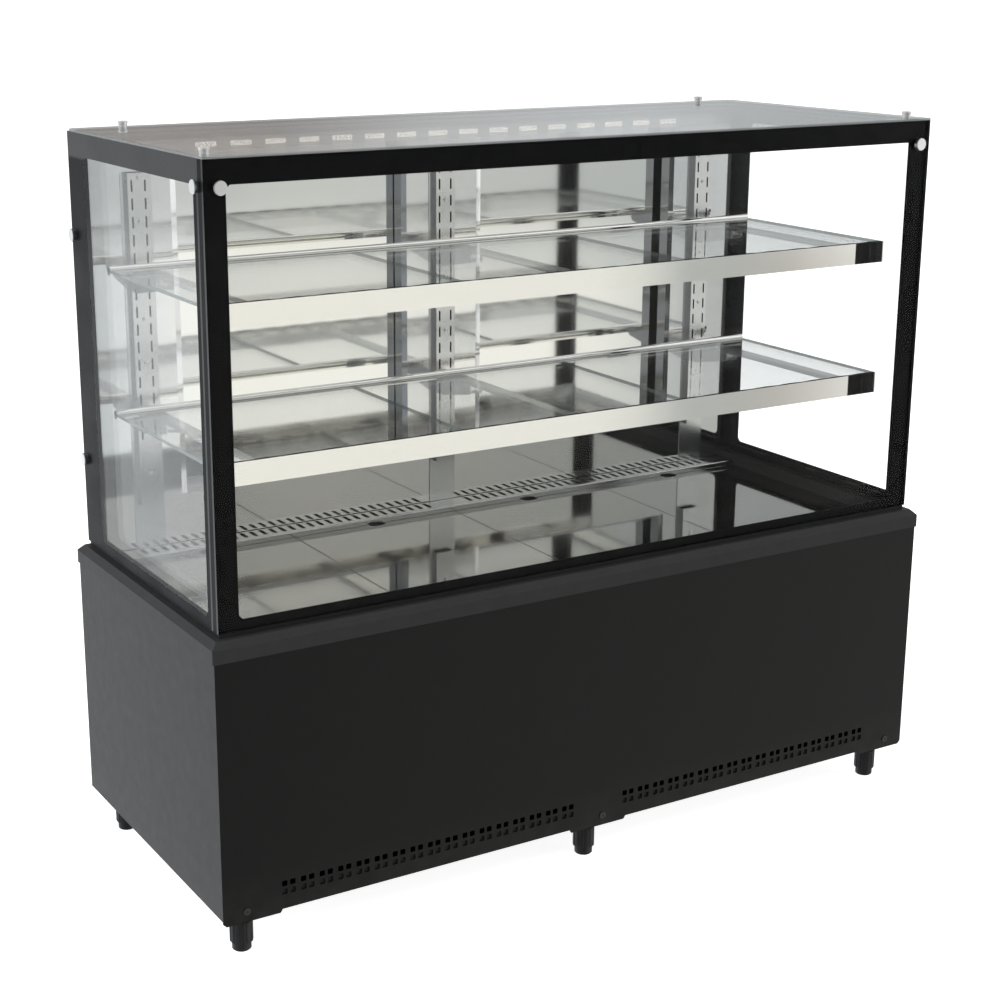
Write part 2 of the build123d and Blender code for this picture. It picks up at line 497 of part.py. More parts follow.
# ================================================================= the deck
# Foamed tub under the deck, open at the top, with a hole for the pipes.
PIPE_HOLE_X, PIPE_HOLE_Y, PIPE_HOLE_R, THROAT_DEPTH, THROAT_LIP = 410.0, 10.0, 18.0, 70.0, 6.5
with BuildPart() as insulated_tub:
    block((-TUB_X, TUB_Y0, TUB_Z0), (TUB_X, TUB_Y1, TUB_Z1))
    block((-TUB_X + FOAM, TUB_Y0 + FOAM, TUB_Z0 + FOAM), (TUB_X - FOAM, TUB_Y1 - FOAM, TUB_Z1),
          mode=Mode.SUBTRACT)
    rod((PIPE_HOLE_X, PIPE_HOLE_Y, TUB_Z0), PIPE_HOLE_R, FOAM, mode=Mode.SUBTRACT)
    # throat that takes the air up to the grille
    block((-TUB_X + FOAM, TUB_Y1 - FOAM, TUB_Z1 - THROAT_DEPTH), (TUB_X - FOAM, TUB_Y1 - THROAT_LIP, TUB_Z1),
          mode=Mode.SUBTRACT)
save(insulated_tub.part, "insulated_tub")

# Four lift-out deck panels: folded trays with a finger notch at the back.
NOTCH_X, NOTCH_Y, NOTCH_DEPTH = 17.0, 9.0, 6.0
deck_w = (2 * DECK_HALF - (DECK_COUNT - 1) * DECK_GAP) / DECK_COUNT
for n in range(DECK_COUNT):
    x0 = -DECK_HALF + n * (deck_w + DECK_GAP)
    x1 = x0 + deck_w
    with BuildPart() as deck_panel:
        block((x0, DECK_Y0, DECK_Z - DECK_FLANGE), (x1, DECK_Y1, DECK_Z))
        fillet(deck_panel.faces().sort_by(Axis.Z)[-1].edges(), 1.2)
        block((x0 + DECK_SHEET, DECK_Y0 + DECK_SHEET, DECK_Z - DECK_FLANGE),
              (x1 - DECK_SHEET, DECK_Y1 - DECK_SHEET, DECK_Z - DECK_SHEET), mode=Mode.SUBTRACT)
        with BuildSketch(Plane.XY.offset(DECK_Z - NOTCH_DEPTH)):
            with Locations(((x0 + x1) / 2, DECK_Y1 - 4)):
                Ellipse(NOTCH_X, NOTCH_Y)
        extrude(amount=NOTCH_DEPTH + 2, mode=Mode.SUBTRACT)
    save(deck_panel.part, f"deck_panel_{n + 1}")

# Raised air grille behind the deck, and the rail that carries both.
SLOT_Y, RAIL_BOX = 235.0, ((196.0, TUB_Z1 - 20), (217.0, TUB_Z1))
with BuildPart() as air_grille:
    block((-DECK_HALF, GRILLE_Y0, TUB_Z1), (DECK_HALF, GRILLE_Y1, GRILLE_Z))
    fillet(air_grille.edges().filter_by(Axis.X).group_by(Axis.Z)[-1].sort_by(Axis.Y)[0], 3)
    block((-DECK_HALF + 1.5, GRILLE_Y0 + 1.5, TUB_Z1), (DECK_HALF - 1.5, GRILLE_Y1 - 1.5, GRILLE_Z - 1.5),
          mode=Mode.SUBTRACT)
    field = SLOT_FIRST + (SLOT_COUNT - 1) * SLOT_PITCH / 2
    with BuildSketch(Plane.XY.offset(GRILLE_Z - 1.5)):
        with Locations((-field, SLOT_Y), (field, SLOT_Y)):
            with GridLocations(SLOT_PITCH, 0, SLOT_COUNT, 1):
                SlotOverall(SLOT_L, SLOT_W, rotation=90)
    extrude(amount=1.5, mode=Mode.SUBTRACT)
    rail_x = TUB_X - FOAM - 0.5
    (y0, z0), (y1, z1) = RAIL_BOX
    block((-rail_x, y0, z0), (rail_x, y1, z1))
    block((-rail_x, y0 + 1.5, z0), (rail_x, y1 - 1.5, z1 - 1.5), mode=Mode.SUBTRACT)
save(air_grille.part, "air_grille")

# ============================================================== the shelves
ARM_HALF, ARM_H, PLATE_T, PLATE_Y, GLASS_Y1 = 11.25, 8.5, 2.5, 125.0, 190.0
LIP_DROP, STRIP_WALL, STRIP_HEM = 5.0, 1.5, 9.0
PANE_W = (2 * STRIP_HALF - (SHELF_PANES - 1) * 1.0) / SHELF_PANES
LED_PITCH, LED_COUNT = 60.0, 23
for level, top in SHELF_TOP.items():
    z = top - SHELF_GLASS_T
    # front strip, a polished channel, and the round rear rail on its low foot
    with BuildPart() as shelf_rails:
        y0, y1, low, wall = STRIP_Y, STRIP_Y + STRIP_DEPTH, top - STRIP_H, STRIP_WALL
        with BuildSketch(Plane.YZ.offset(-STRIP_HALF)):
            with BuildLine():
                Polyline((y0, top), (y0, low), (y0 + STRIP_HEM, low),
                         (y0 + STRIP_HEM, low + wall), (y0 + wall, low + wall),
                         (y0 + wall, z - ARM_H - wall), (y1, z - ARM_H - wall),
                         (y1, z - ARM_H), (y0 + wall, z - ARM_H), (y0 + wall, top), close=True)
            make_face()
        extrude(amount=2 * STRIP_HALF)
        with BuildSketch(Plane.YZ.offset(-RAIL_HALF)):
            with Locations((RAIL_Y, top)):
                Circle(RAIL_R)
            with Locations((RAIL_Y, top - RAIL_DROP / 2)):
                Rectangle(RAIL_FOOT, RAIL_DROP)
            with Locations((RAIL_Y - RAIL_R, z + SHELF_GLASS_T / 2)):
                Rectangle(2 * (GLASS_Y1 - RAIL_Y + RAIL_R) + 0.2, SHELF_GLASS_T + 0.2, mode=Mode.SUBTRACT)
        extrude(amount=2 * RAIL_HALF)
    save(shelf_rails.part, f"{level}_shelf_rails")

    # three brackets: a pair of tapered plates with hooks, and a flat arm
    plate_top, hook_z = top - RAIL_DROP, top - HOOK_DROP
    hook_low = hook_z - HOOK_H / 2 + 0.05
    with BuildPart() as shelf_brackets:
        for x in (-STANDARD_X, 0.0, STANDARD_X):
            block((x - ARM_HALF, STRIP_Y + 18, z - ARM_H), (x + ARM_HALF, RAIL_Y - 9, z))
            block((x - ARM_HALF, PLATE_Y + 4, z - 18), (x + ARM_HALF, STANDARD_Y - 8, plate_top))
            for sx in (-1, 1):
                plate_x = x + sx * HOOK_SPACING / 2 - PLATE_T / 2
                with BuildSketch(Plane.YZ.offset(plate_x)):
                    with BuildLine():
                        Polyline((STANDARD_Y - 0.5, plate_top), (STANDARD_Y - 0.5, z - 46),
                                 (STANDARD_Y - 12, z - 46), (PLATE_Y + 6, z - 26),
                                 (PLATE_Y, z - 20), (PLATE_Y, plate_top), close=True)
                    make_face()
                    with BuildLine():
                        neck_y, lip_y = STANDARD_Y + STANDARD_T + 0.1, STANDARD_Y + STANDARD_T + 3.1
                        Polyline((STANDARD_Y - 2, hook_z), (STANDARD_Y - 2, hook_low),
                                 (neck_y, hook_low), (neck_y, hook_low - LIP_DROP),
                                 (lip_y, hook_low - LIP_DROP), (lip_y, hook_z), close=True)
                    make_face()
                extrude(amount=PLATE_T)
    save(shelf_brackets.part, f"{level}_shelf_brackets")

    # glass in three panes, on the strip in front and let into the rail behind
    with BuildPart() as shelf_glass:
        for n in range(SHELF_PANES):
            x0 = -STRIP_HALF + n * (PANE_W + 1.0)
            block((x0, STRIP_Y + STRIP_WALL + 0.3, z), (x0 + PANE_W, GLASS_Y1, top))
    save(shelf_glass.part, f"{level}_shelf_glass")

    # light strip behind the front wall, under the glass
    with BuildPart() as shelf_leds:
        block((-STRIP_HALF + 12, STRIP_Y + 4, z - ARM_H), (STRIP_HALF - 12, STRIP_Y + 17, z - ARM_H + 1.5))
        with BuildSketch(Plane.XY.offset(z - ARM_H + 1.5)):
            with Locations((0, STRIP_Y + 10.5)):
                with GridLocations(LED_PITCH, 0, LED_COUNT, 1):
                    RectangleRounded(36, 9, 3)
        extrude(amount=3.5)
    save(shelf_leds.part, f"{level}_shelf_leds")

# Light bar under the top glass, hung from the header on three arms.
BAR_HALF, BAR_Y, BAR_DEPTH, BAR_Z0, BAR_Z1 = 630.0, 216.0, 24.0, 1282.0, 1300.0
MODULE_PITCH, MODULE_L, MODULE_H = 67.6, 40.0, 9.0
with BuildPart() as top_light_bar:
    block((-BAR_HALF, BAR_Y, BAR_Z0), (BAR_HALF, BAR_Y + BAR_DEPTH, BAR_Z1))
    for x in (-450.0, 0.0, 450.0):
        block((x - 15, BAR_Y + BAR_DEPTH, BAR_Z0 + 8), (x + 15, HEADER_Y0, BAR_Z1))
    with BuildSketch(Plane.XZ.offset(-BAR_Y)):
        with Locations((0, (BAR_Z0 + BAR_Z1) / 2)):
            with GridLocations(MODULE_PITCH, 0, 16, 1):
                RectangleRounded(MODULE_L, MODULE_H, 3)
    extrude(amount=4)
save(top_light_bar.part, "top_light_bar")

# ============================================================= refrigeration
TUB_FLOOR = TUB_Z0 + FOAM
COIL_HALF, COIL_Y0, COIL_Y1, COIL_Z0, COIL_Z1 = 330.0, -62.0, 40.0, 392.0, 500.0
COIL_PLATE, TUBE_R, TUBE_PITCH, FIN_T = 2.0, 5.0, 26.0, 1.2
SHAFT_R, WHEEL_R, WHEEL_CLEARANCE, BLADES, BLADE_W, BLADE_T = 4.0, 30.0, 4.0, 16, 8.0, 1.4
HOUSING = 40.0                        # half height and half depth of the blower housing


def finned_coil(x_mid, half, y0, y1, z0, z1, pitch, tubes):
    """Fins across X on a grid of tubes, in the active part."""
    fins = int(2 * half // pitch) + 1
    middle = (x_mid, (y0 + y1) / 2, (z0 + z1) / 2)
    with Locations(middle):
        with GridLocations(pitch, 0, fins, 1):
            Box(FIN_T, y1 - y0, z1 - z0)
    with Locations(Location(middle, TO_RIGHT)):
        with GridLocations(TUBE_PITCH, TUBE_PITCH, *tubes):
            Cylinder(TUBE_R, 2 * half)


# Evaporator coil and the housing of its cross-flow blower, on one base plate.
with BuildPart() as evaporator:
    finned_coil(0, COIL_HALF - 1, COIL_Y0, COIL_Y1, COIL_Z0, COIL_Z1, 20, (3, 4))
    for sx in (-1, 1):
        xs = sorted([sx * COIL_HALF, sx * (COIL_HALF - COIL_PLATE)])
        block((xs[0], COIL_Y0, TUB_FLOOR), (xs[1], COIL_Y1, COIL_Z1))
        xs = sorted([sx * (BLOWER_HALF - 20), sx * (BLOWER_HALF - 50)])
        block((xs[0], BLOWER_Y - 30, TUB_FLOOR), (xs[1], BLOWER_Y + 30, BLOWER_Z - 38))
    block((-COIL_HALF, COIL_Y0, TUB_FLOOR), (COIL_HALF, BLOWER_Y + HOUSING, TUB_FLOOR + COIL_PLATE))
    outer, inner = BLOWER_HALF + 8, BLOWER_HALF + 4
    block((-outer, BLOWER_Y - HOUSING, BLOWER_Z - HOUSING), (outer, BLOWER_Y + HOUSING, BLOWER_Z + HOUSING))
    rod((-inner, BLOWER_Y, BLOWER_Z), WHEEL_R + WHEEL_CLEARANCE, 2 * inner, TO_RIGHT, mode=Mode.SUBTRACT)
    # inlet toward the coil, outlet toward the throat
    block((-inner, BLOWER_Y - HOUSING, BLOWER_Z - 26), (inner, BLOWER_Y, BLOWER_Z + 26), mode=Mode.SUBTRACT)
    block((-inner, BLOWER_Y, BLOWER_Z + 6), (inner, BLOWER_Y + HOUSING, BLOWER_Z + 30), mode=Mode.SUBTRACT)
    rod((-outer, BLOWER_Y, BLOWER_Z), SHAFT_R + 0.05, 2 * outer, TO_RIGHT, mode=Mode.SUBTRACT)
save(evaporator.part, "evaporator")

with BuildPart() as evaporator_blower:
    rod((-BLOWER_HALF - 8, BLOWER_Y, BLOWER_Z), SHAFT_R, 2 * BLOWER_HALF + 16, TO_RIGHT)
    with BuildSketch(Plane.YZ.offset(-BLOWER_HALF)):
        with Locations((BLOWER_Y, BLOWER_Z)):
            with PolarLocations(WHEEL_R - 5, BLADES):
                Rectangle(BLADE_W, BLADE_T, rotation=35)
    extrude(amount=2 * BLOWER_HALF)
    for x in (-BLOWER_HALF, -1.5, BLOWER_HALF - 3):
        rod((x, BLOWER_Y, BLOWER_Z), WHEEL_R, 3, TO_RIGHT)
save(evaporator_blower.part, "evaporator_blower")

# Hermetic compressor on four rubber mounts.
COMP_X, COMP_Y, COMP_R, COMP_Z0, COMP_H = 330.0, 80.0, 85.0, 99.0, 165.0
SHOULDER_R, HEEL_R, PLATE_W, PLATE_D = 45.0, 18.0, 220.0, 150.0
MOUNT_R, MOUNT_X, MOUNT_Y = 11.0, 92.0, 58.0
with BuildPart() as compressor:
    rod((COMP_X, COMP_Y, COMP_Z0), COMP_R, COMP_H)
    fillet(compressor.edges().filter_by(GeomType.CIRCLE).group_by(Axis.Z)[-1], SHOULDER_R)
    fillet(compressor.edges().filter_by(GeomType.CIRCLE).group_by(Axis.Z)[0], HEEL_R)
    with BuildSketch(Plane.XY.offset(COMP_Z0 - 4)):
        with Locations((COMP_X, COMP_Y)):
            RectangleRounded(PLATE_W, PLATE_D, 12)
    extrude(amount=5)
    for sx in (-1, 1):
        for sy in (-1, 1):
            rod((COMP_X + sx * MOUNT_X, COMP_Y + sy * MOUNT_Y, BODY_Z + 2), MOUNT_R, COMP_Z0 - BODY_Z - 6)
save(compressor.part, "compressor")

# Condenser coil with its fan shroud and motor.
COND_HALF, COND_Z0, COND_Z1, SHROUD_Y, MOTOR_Y = 150.0, 90.0, 312.0, -148.0, -104.0
SHROUD_H, MOTOR_R, MOTOR_L, HUB_R, HUB_L, FAN_BLADES = 36.0, 28.0, 52.0, 24.0, 26.0, 5
with BuildPart() as condenser:
    finned_coil(CONDENSER_X, COND_HALF, CONDENSER_Y, SHROUD_Y, COND_Z0, COND_Z1, 12, (2, 8))
    low = (CONDENSER_X - COND_HALF - 3, SHROUD_Y - 2)
    high = (CONDENSER_X + COND_HALF + 3, SHROUD_Y + 2)
    block((low[0], low[1], BODY_Z + 2), (high[0], high[1], COND_Z1))
    block((low[0], CONDENSER_Y, BODY_Z + 2), (high[0], SHROUD_Y, COND_Z0))
    rod((CONDENSER_X, SHROUD_Y + 2, CONDENSER_Z), FAN_R + 8, SHROUD_H, TO_BACK)
    rod((CONDENSER_X, SHROUD_Y - 2, CONDENSER_Z), FAN_R + 4, 44, TO_BACK, mode=Mode.SUBTRACT)
    rod((CONDENSER_X, MOTOR_Y, CONDENSER_Z), MOTOR_R, MOTOR_L, TO_BACK)
    for sx in (-1, 1):
        xs = sorted([CONDENSER_X + sx * 20, CONDENSER_X + sx * (FAN_R + 8)])
        block((xs[0], MOTOR_Y - 8, CONDENSER_Z - 6), (xs[1], MOTOR_Y + 2, CONDENSER_Z + 6))
    rod((CONDENSER_X, SHROUD_Y - 4, CONDENSER_Z), FAN_R, 36, TO_BACK, mode=Mode.SUBTRACT)
    rod((CONDENSER_X, MOTOR_Y - 8, CONDENSER_Z), SHAFT_R + 0.05, 40, TO_BACK, mode=Mode.SUBTRACT)
save(condenser.part, "condenser")

with BuildPart() as condenser_fan:
    rod((CONDENSER_X, SHROUD_Y + 4, CONDENSER_Z), HUB_R, HUB_L, TO_BACK)
    rod((CONDENSER_X, SHROUD_Y + 4, CONDENSER_Z), SHAFT_R, 66, TO_BACK)
    with Locations(Location((CONDENSER_X, SHROUD_Y + 17, CONDENSER_Z), TO_BACK)):
        with PolarLocations((FAN_R + 20) / 2, FAN_BLADES):
            Box(FAN_R - 24, 44, 2, rotation=(26, 0, 0))
save(condenser_fan.part, "condenser_fan")

# Condensate tray, pulled out at the back by a lip.
TRAY_WALL, TRAY_FRONT, TRAY_Y0, LIP_HALF = 1.5, 2.5, 20.0, 40.0
with BuildPart() as condensate_tray:
    block((-TRAY_HALF, TRAY_Y0, TRAY_Z0), (TRAY_HALF, REAR_FACE, TRAY_Z1))
    block((-TRAY_HALF + TRAY_WALL, TRAY_Y0 + TRAY_WALL, TRAY_Z0 + TRAY_WALL),
          (TRAY_HALF - TRAY_WALL, REAR_FACE - TRAY_FRONT, TRAY_Z1), mode=Mode.SUBTRACT)
    block((-LIP_HALF, REAR_FACE - TRAY_FRONT, TRAY_Z1 - 2), (LIP_HALF, REAR_FACE + TRAY_FRONT, TRAY_Z1))
save(condensate_tray.part, "condensate_tray")

# Copper lines: hot gas, liquid and suction.
PIPE_RUNS = [
    [(244, 80, 190), (-220, 80, 190), (-220, -174, 190), (-298, -174, 190)],
    [(-298, -174, 116), (-250, -174, 116), (-250, -174, 300), (-250, 10, 300),
     (402, 10, 300), (402, 10, 440), (332, 10, 440)],
    [(332, -36, 415), (418, -36, 415), (418, 10, 415), (418, 10, 310), (440, 10, 310),
     (440, 80, 310), (440, 80, 180), (416, 80, 180)],
]
PIPE_R, BEND_R = 5.0, 10.0
with BuildPart() as pipework:
    for points in PIPE_RUNS:
        with BuildLine() as run:
            FilletPolyline(*points, radius=BEND_R)
        with BuildSketch(Plane(origin=run.line @ 0, z_dir=run.line % 0)):
            Circle(PIPE_R)
        sweep(path=run.line)
save(pipework.part, "pipework")

# ================================================================= controls
# Control box let into the rear sheet, with a fascia, three button bores and
# the pivot of the main rocker switch.
FASCIA_T, CONTROL_WALL, CONTROL_D, BUTTON_PITCH = 2.0, 2.5, 112.0, 26.0
WINDOW_HALF, WINDOW_Z0, WINDOW_Z1 = 34.0, BUTTON_Z + 11, BUTTON_Z + 37
PIVOT_Y, ROCKER_HALF_W, ROCKER_HALF_H, PIN_R = REAR_FACE - 5.0, 10.7, 14.0, 1.5
BUTTONS = {"button_set": CONTROL_X + BUTTON_PITCH, "button_up": CONTROL_X,
           "button_down": CONTROL_X - BUTTON_PITCH}
with BuildPart() as control_box:
    half_w, half_h = (CONTROL_W - 8) / 2 - 0.3, (CONTROL_H - 8) / 2 - 0.3
    box_y0 = REAR_FACE - CONTROL_D
    block((CONTROL_X - half_w, box_y0, CONTROL_Z - half_h), (CONTROL_X + half_w, REAR_FACE, CONTROL_Z + half_h))
    block((CONTROL_X - half_w + CONTROL_WALL, box_y0 + CONTROL_WALL, CONTROL_Z - half_h + CONTROL_WALL),
          (CONTROL_X + half_w - CONTROL_WALL, REAR_FACE - CONTROL_WALL, CONTROL_Z + half_h - CONTROL_WALL),
          mode=Mode.SUBTRACT)
    with BuildSketch(Plane.XZ.offset(-REAR_FACE)):
        with Locations((CONTROL_X, CONTROL_Z)):
            RectangleRounded(CONTROL_W, CONTROL_H, 5)
    extrude(amount=-FASCIA_T)
    # window recess of the temperature display
    block((CONTROL_X - WINDOW_HALF, REAR_FACE + 1, WINDOW_Z0), (CONTROL_X + WINDOW_HALF, REAR_FACE + 3, WINDOW_Z1),
          mode=Mode.SUBTRACT)
    block((CONTROL_X - 14, PIVOT_Y - 7, ROCKER_Z - 19), (CONTROL_X + 14, REAR_FACE - 2, ROCKER_Z + 19))
    block((CONTROL_X - 11, PIVOT_Y - 7, ROCKER_Z - 15), (CONTROL_X + 11, REAR_FACE + 3, ROCKER_Z + 15),
          mode=Mode.SUBTRACT)
    rod((CONTROL_X - 13, PIVOT_Y, ROCKER_Z), PIN_R + 0.05, 26, TO_RIGHT, mode=Mode.SUBTRACT)
    for x in BUTTONS.values():
        rod((x, REAR_FACE - 5, BUTTON_Z), BUTTON_R + 0.05, 10, TO_BACK, mode=Mode.SUBTRACT)
save(control_box.part, "control_box")

for label, x in BUTTONS.items():
    with BuildPart() as push_button:
        rod((x, REAR_FACE - 6, BUTTON_Z), BUTTON_R, 8.6, TO_BACK)
        fillet(push_button.edges().filter_by(GeomType.CIRCLE).group_by(Axis.Y)[-1], 0.4)
        rod((x, REAR_FACE - 6, BUTTON_Z), BUTTON_R + 1.5, 3.4, TO_BACK)
    save(push_button.part, label)

# Rocker, resting with its upper half out.
ROCKER_REST, ROCKER_FACE = 10.0, 5.0
ROCKER_OUTLINE = [(ROCKER_FACE, ROCKER_HALF_H), (ROCKER_FACE, -ROCKER_HALF_H), (1.0, -ROCKER_HALF_H + 0.8),
                  (-6.0, -5.0), (-6.0, 5.0), (1.0, ROCKER_HALF_H - 0.8)]
with BuildPart() as rocker_switch:
    with BuildSketch(Plane.YZ.offset(CONTROL_X - ROCKER_HALF_W)):
        with Locations((PIVOT_Y, ROCKER_Z)):
            Polygon(*ROCKER_OUTLINE, rotation=-ROCKER_REST, align=None)
    extrude(amount=2 * ROCKER_HALF_W)
    rod((CONTROL_X - 12.5, PIVOT_Y, ROCKER_Z), PIN_R, 25, TO_RIGHT)
save(rocker_switch.part, "rocker_switch")

# Button-head screws of the front and rear sheets, all alike.
SCREW_R, SCREW_HEAD, SOCKET_R = 6.5, 1.5, 2.2
FRONT_SCREWS = [(-704.0, 90.0), (10.0, 90.0), (704.0, 90.0)]
REAR_SCREWS = [(sx * 735.0, z) for sx in (-1, 1) for z in (100.0, 300.0, 515.0)]
with BuildPart() as panel_screws:
    for places, face_y, turn in ((FRONT_SCREWS, FRONT_Y, TO_FRONT), (REAR_SCREWS, REAR_FACE, TO_BACK)):
        for x, z in places:
            rod((x, face_y, z), SCREW_R, SCREW_HEAD, turn)
            tip = face_y + (SCREW_HEAD if face_y > 0 else -SCREW_HEAD)
            back = TO_FRONT if turn == TO_BACK else TO_BACK
            rod((x, tip, z), SOCKET_R, 1.0, back, mode=Mode.SUBTRACT)
save(panel_screws.part, "panel_screws")
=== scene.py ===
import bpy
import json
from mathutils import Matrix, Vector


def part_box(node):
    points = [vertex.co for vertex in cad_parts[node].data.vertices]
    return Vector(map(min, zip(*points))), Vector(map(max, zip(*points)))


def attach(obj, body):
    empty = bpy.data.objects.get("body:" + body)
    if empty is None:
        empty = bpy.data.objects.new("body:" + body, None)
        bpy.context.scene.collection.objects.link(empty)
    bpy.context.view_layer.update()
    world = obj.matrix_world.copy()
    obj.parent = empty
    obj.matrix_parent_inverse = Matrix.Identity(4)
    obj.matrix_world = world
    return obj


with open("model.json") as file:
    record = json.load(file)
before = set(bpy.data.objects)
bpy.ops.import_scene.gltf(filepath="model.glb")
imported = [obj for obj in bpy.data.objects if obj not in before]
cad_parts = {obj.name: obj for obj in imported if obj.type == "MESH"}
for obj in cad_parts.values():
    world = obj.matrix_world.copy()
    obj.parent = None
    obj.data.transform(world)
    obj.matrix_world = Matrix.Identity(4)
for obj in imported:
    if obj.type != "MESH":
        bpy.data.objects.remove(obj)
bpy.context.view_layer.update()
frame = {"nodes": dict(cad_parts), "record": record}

import json
import math

import bmesh
import bpy
from mathutils import Vector

NODES = frame["nodes"]
MM = 0.001


# ---------------------------------------------------------------- node helpers
class Graph:
    """A small helper around the node tree of a material or of the world."""

    def __init__(self, name, kind="Material"):
        store = bpy.data.materials if kind == "Material" else bpy.data.worlds
        self.material = store.new(name)
        self.material.use_nodes = True
        self.tree = self.material.node_tree
        self.tree.nodes.clear()
        self.output = self.tree.nodes.new(f"ShaderNodeOutput{kind}")

    def add(self, kind, inputs=None, **settings):
        node = self.tree.nodes.new(kind)
        for key, value in settings.items():
            setattr(node, key, value)
        for key, value in (inputs or {}).items():
            self.feed(node.inputs[key], value)
        return node

    def feed(self, socket, value):
        if isinstance(value, bpy.types.NodeSocket):
            self.tree.links.new(value, socket)
        elif isinstance(value, tuple) and len(value) == 3 and socket.type == "RGBA":
            socket.default_value = (*value, 1.0)
        else:
            socket.default_value = value

    def math(self, operation, a, b=0.0, clamp=False):
        node = self.add("ShaderNodeMath", operation=operation, use_clamp=clamp)
        self.feed(node.inputs[0], a)
        self.feed(node.inputs[1], b)
        return node.outputs[0]

    def object_point(self, scale=(1, 1, 1)):
        point = self.add("ShaderNodeTexCoord").outputs["Object"]
        return self.add("ShaderNodeMapping", {"Vector": point, "Scale": scale}).outputs[0]

    def noise(self, scale, detail=3.0, stretch=(1, 1, 1), rough=0.5):
        node = self.add("ShaderNodeTexNoise", {"Vector": self.object_point(stretch), "Scale": scale,
                                               "Detail": detail, "Roughness": rough})
        return node.outputs["Fac"]

    def ramp(self, value, low, high, out_low=0.0, out_high=1.0, smooth=False):
        kind = "SMOOTHSTEP" if smooth else "LINEAR"
        node = self.add("ShaderNodeMapRange", {"Value": value, "From Min": low, "From Max": high,
                                               "To Min": out_low, "To Max": out_high},
                        interpolation_type=kind)
        return node.outputs[0]

    def mix_color(self, factor, a, b):
        node = self.add("ShaderNodeMix", data_type="RGBA")
        self.feed(node.inputs[0], factor)
        self.feed(node.inputs[6], a)
        self.feed(node.inputs[7], b)
        return node.outputs[2]

    def color_ramp(self, factor, stops):
        node = self.add("ShaderNodeValToRGB", {"Fac": factor})
        elements = node.color_ramp.elements
        for element, (place, color) in zip(elements, (stops[0], stops[-1])):
            element.position, element.color = place, (*color, 1.0)
        for place, color in stops[1:-1]:
            elements.new(place).color = (*color, 1.0)
        return node.outputs["Color"]

    def bump(self, height, strength, distance, normal=None):
        inputs = {"Height": height, "Strength": strength, "Distance": distance}
        if normal is not None:
            inputs["Normal"] = normal
        return self.add("ShaderNodeBump", inputs).outputs[0]

    def axis_of_normal(self, axis):
        """How far the surface faces along one object axis, 0 to 1."""
        geometry = self.add("ShaderNodeNewGeometry")
        parts = self.add("ShaderNodeSeparateXYZ", {"Vector": geometry.outputs["True Normal"]})
        return self.math("ABSOLUTE", parts.outputs[axis])

    def finish(self, shader):
        self.tree.links.new(shader, self.output.inputs["Surface"])
        return self.material


def principled(graph, **inputs):
    names = {"color": "Base Color", "rough": "Roughness", "metal": "Metallic", "normal": "Normal",
             "specular": "Specular IOR Level", "emission": "Emission Color", "strength": "Emission Strength"}
    return graph.add("ShaderNodeBsdfPrincipled", {names[k]: v for k, v in inputs.items()}).outputs[0]


# ------------------------------------------------------------------- materials
CLEAR_TINT = (0.996, 0.998, 0.997)    # what one face of a pane lets through
CROWN_BLEND, CROWN_GLOSS = 3 * MM, 10.0    # the side prints' top band: its soft edge and extra gloss


def powder_coat(name, color, rough, specular=0.3, orange_peel=0.05):
    """Sprayed paint on sheet: fine orange peel, faint cloudiness, dust toward the floor."""
    g = Graph(name)
    grain = g.noise(900.0, 2.0)
    dark, light = tuple(c * 0.94 for c in color), tuple(c * 1.07 for c in color)
    tone = g.mix_color(g.ramp(g.noise(26.0, 5.0), 0.3, 0.7), dark, light)
    scuff = g.ramp(g.noise(60.0, 6.0, (1, 1, 0.3), 0.7), 0.70, 0.82)
    tone = g.mix_color(g.math("MULTIPLY", scuff, 0.05), tone, (0.16, 0.16, 0.16))
    height = g.add("ShaderNodeSeparateXYZ", {"Vector": g.object_point()}).outputs["Z"]
    patches = g.ramp(g.noise(38.0, 5.0), 0.35, 0.75, 0.01, 0.05)
    dust = g.math("MULTIPLY", g.ramp(height, 0.16, 0.07), patches)
    tone = g.mix_color(dust, tone, (0.22, 0.21, 0.19))
    roughness = g.ramp(g.noise(40.0, 5.0), 0.25, 0.75, rough - 0.02, rough + 0.03)
    normal = g.bump(grain, orange_peel, 0.0004)
    return g.finish(principled(g, color=tone, rough=roughness, specular=specular, normal=normal))


def metal(name, color, rough, streak=(1, 1, 1), streak_scale=120.0, bump=0.02, wobble=0.0, spread=0.03,
          share=1.0):
    """Bare metal: brushed along one direction, with smudges in the polish."""
    g = Graph(name)
    lines = g.noise(streak_scale, 4.0, streak, 0.6)
    smudge = g.noise(9.0, 5.0, rough=0.65)
    dark, light = tuple(c * 0.93 for c in color), tuple(min(c * 1.05, 1.0) for c in color)
    tone = g.mix_color(lines, dark, light)
    roughness = g.ramp(smudge, 0.3, 0.75, max(rough - spread, 0.01), rough + spread)
    normal = g.bump(lines, bump, 0.0002)
    if wobble:
        normal = g.bump(g.noise(3.2, 2.0), wobble, 0.004, normal)
    return g.finish(principled(g, color=tone, rough=roughness, metal=share, normal=normal))


def plastic(name, color, rough, grain=1400.0, bump=0.08, specular=0.4):
    g = Graph(name)
    cloud = g.noise(22.0, 4.0)
    dark, light = tuple(c * 0.85 for c in color), tuple(min(c * 1.15, 1.0) for c in color)
    tone = g.mix_color(g.ramp(cloud, 0.3, 0.7), dark, light)
    roughness = g.ramp(g.noise(60.0, 4.0), 0.3, 0.7, rough - 0.05, rough + 0.07)
    normal = g.bump(g.noise(grain, 2.0), bump, 0.0003)
    return g.finish(principled(g, color=tone, rough=roughness, specular=specular, normal=normal))


